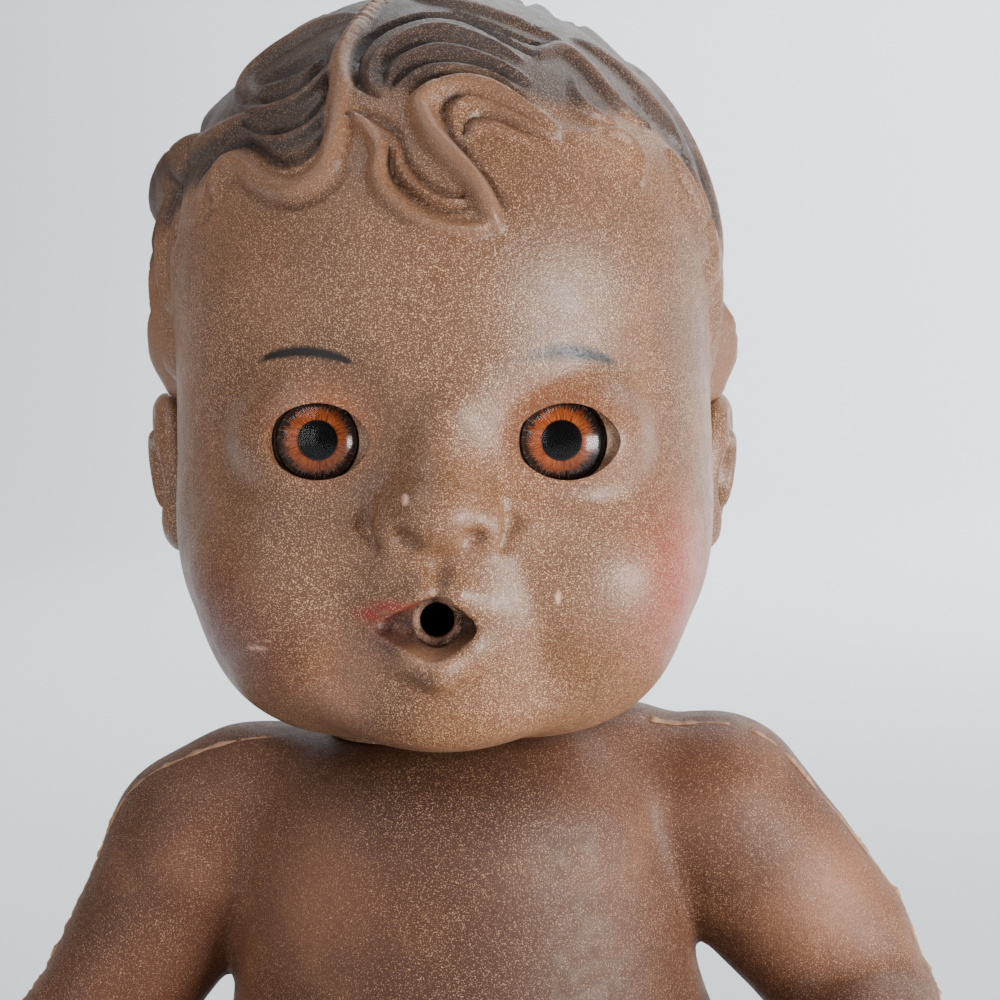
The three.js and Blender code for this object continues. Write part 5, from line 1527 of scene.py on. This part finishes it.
class DOLL_OT_fittings(bpy.types.Operator):
    """Presses the whistle into the back and the drain eyelet between the legs"""
    bl_idname = "doll.fittings"
    bl_label = "Whistle and eyelet"

    def execute(self, context):
        rounds = chosen().rounds
        tin = plain("dull_tin", TIN, 0.36, metallic=1.0)
        brass = plain("dull_brass", BRASS, 0.36, metallic=1.0)
        cup = [(1.1, -8), (7.5, -8), (7.5, -0.9), (8.7, -0.9), (8.7, -0.25), (8.4, 0), (6.9, 0), (6.9, -4),
               (5.7, -4), (5.7, -7.4), (1.1, -7.4)]
        turned("whistle_cup", cup, rounds, whistle_place(), "body", tin)
        disc = [(0, -0.6), (6.6, -0.6), (6.6, -0.1), (6.4, 0), (0, 0)]
        cap = revolved("whistle_cap_turned", disc, rounds, whistle_place())
        combined(cap, "DIFFERENCE", *self.cap_holes())
        settled(smoothed(cap), "body", "whistle_cap", tin)
        reed = frame["nodes"]["whistle_reed"].data.materials
        reed.clear()
        reed.append(brass)
        eyelet = [(1.5, -4.1), (2.1, -4.1), (2.1, 0.3), (3.2, 0.3), (3.5, 0.5), (3.3, 0.85),
                  (2.4, EYELET_RISE), (1.7, 0.6), (1.5, 0)]
        turned("drain_eyelet", eyelet, EYELET_SIDES, drain_place(), "body", brass,
               EYELET_SHARP_ANGLE)
        return {"FINISHED"}

    @staticmethod
    def cap_holes():
        holes = []
        for i in range(CAP_HOLES):
            turn = 2 * math.pi * i / CAP_HOLES
            spot = Matrix.Translation((CAP_HOLE_RING * math.cos(turn), CAP_HOLE_RING * math.sin(turn), 0))
            holes.append(revolved("hole", stepped(-2, (1.1, 2)), CAP_HOLE_SIDES, whistle_place() @ spot))
        return holes


# Stage

SENSOR = 36.0
FOCAL_PIXELS = 2065
PICTURE_PIXELS = 1000
CAMERA = vec(8.5, -330.6, 65.0)
CAMERA_PITCH = 5.0
SWEEP_BEND = 0.15
SWEEP_STEPS = 16
SKY = (0.95, 0.97, 1.0, 1.0)
SKY_STRENGTH = 0.22
FACE = (0, 0, 0.15)
# Each light's place, aim and size in metres, its share of the power that is set, and its tint
LIGHTS = {
    "window": ((0.42, -0.30, 0.085), FACE, (0.26, 0.14), 0.58, (1.0, 0.98, 0.95)),
    "top": ((-0.35, -0.45, 0.95), FACE, (0.8, 0.8), 0.66, (0.95, 0.98, 1.0)),
    "fill": ((-0.6, -0.8, 0.25), FACE, (1.0, 0.4), 0.3, (1.0, 0.97, 0.94)),
    "floor": ((0.9, 0.95, 1.3), (0.9, 0.95, 0), (2.0, 1.3), 4.4, (0.95, 0.985, 1.0)),
    "sweep": ((1.0, 0.5, 1.0), (1.0, 2.2, 0.5), (1.6, 0.8), 4.0, (0.95, 0.985, 1.0)),
}


class DOLL_OT_stage(bpy.types.Operator):
    """Lays the pale floor and its sweep, hangs the lights and aims the camera"""
    bl_idname = "doll.stage"
    bl_label = "Stage"

    def execute(self, context):
        size = chosen().floor_size
        bend = SWEEP_BEND * size
        turns = np.linspace(0, math.pi / 2, SWEEP_STEPS)
        flat = size / 2 - bend
        curve = [(flat + bend * math.sin(turn), bend - bend * math.cos(turn)) for turn in turns]
        profile = [(-size / 2, 0), *curve, (size / 2, size / 2)]
        points = [(x, y, z) for y, z in profile for x in (-size, size)]
        faces = [(2 * i, 2 * i + 1, 2 * i + 3, 2 * i + 2) for i in range(len(profile) - 1)]
        floor = mesh_object("floor", points, faces, Matrix.Identity(4))
        floor.data.shade_smooth()
        sockets = {"Base Color": (*chosen().floor_shade, 1.0), "Roughness": 0.9, "Specular IOR Level": 0.1}
        floor.data.materials.append(Shader("pale_paper").finish(sockets))
        self.camera(context)
        self.lights(context)
        return {"FINISHED"}

    @staticmethod
    def camera(context):
        """The view is square to the face, which stays upright while the body under it leans."""
        data = bpy.data.cameras.new("camera")
        data.sensor_width = SENSOR
        data.lens = SENSOR * FOCAL_PIXELS / PICTURE_PIXELS
        data.clip_start = 0.01
        made = bpy.data.objects.new("camera", data)
        spot = Matrix.Translation(CAMERA * MM) @ Matrix.Rotation(math.radians(90 - CAMERA_PITCH), 4, "X")
        made.matrix_world = LEANING_NECK @ spot
        context.scene.collection.objects.link(made)
        context.scene.camera = made

    @staticmethod
    def lights(context):
        world = bpy.data.worlds.new("studio")
        world.use_nodes = True
        sky = world.node_tree.nodes["Background"].inputs
        sky["Color"].default_value = SKY
        sky["Strength"].default_value = SKY_STRENGTH
        context.scene.world = world
        for name, (place, aim, size, share, tint) in LIGHTS.items():
            data = bpy.data.lights.new(name, "AREA")
            data.shape = "RECTANGLE"
            data.size, data.size_y = size
            data.energy = chosen().light_power * share
            data.color = tint
            made = bpy.data.objects.new(name, data)
            made.location = place
            made.rotation_euler = (Vector(aim) - Vector(place)).to_track_quat("-Z", "Y").to_euler()
            context.scene.collection.objects.link(made)


class DOLL_PT_panel(bpy.types.Panel):
    """Lists the doll's settings and pieces"""
    bl_idname = "DOLL_PT_panel"
    bl_label = "Rubber Baby Doll"
    bl_space_type = "VIEW_3D"
    bl_region_type = "UI"
    bl_category = "Doll"

    def draw(self, context):
        for name in DollSettings.__annotations__:
            self.layout.prop(context.scene.doll, name)
        for operator in OPERATORS:
            self.layout.operator(operator.bl_idname)


OPERATORS = (
    DOLL_OT_stage, DOLL_OT_head, DOLL_OT_eyes, DOLL_OT_mouth_tube, DOLL_OT_body, DOLL_OT_seam,
    DOLL_OT_fittings,
)
CLASSES = (DollSettings, *OPERATORS, DOLL_PT_panel)


def register():
    for one in CLASSES:
        bpy.utils.register_class(one)
    bpy.types.Scene.doll = bpy.props.PointerProperty(type=DollSettings)


def unregister():
    del bpy.types.Scene.doll
    for one in reversed(CLASSES):
        bpy.utils.unregister_class(one)


def main():
    register()
    bpy.ops.doll.stage()
    bpy.ops.doll.head()
    bpy.ops.doll.eyes()
    bpy.ops.doll.mouth_tube()
    bpy.ops.doll.body()
    bpy.ops.doll.seam()
    bpy.ops.doll.fittings()


if __name__ == "__main__":
    main()
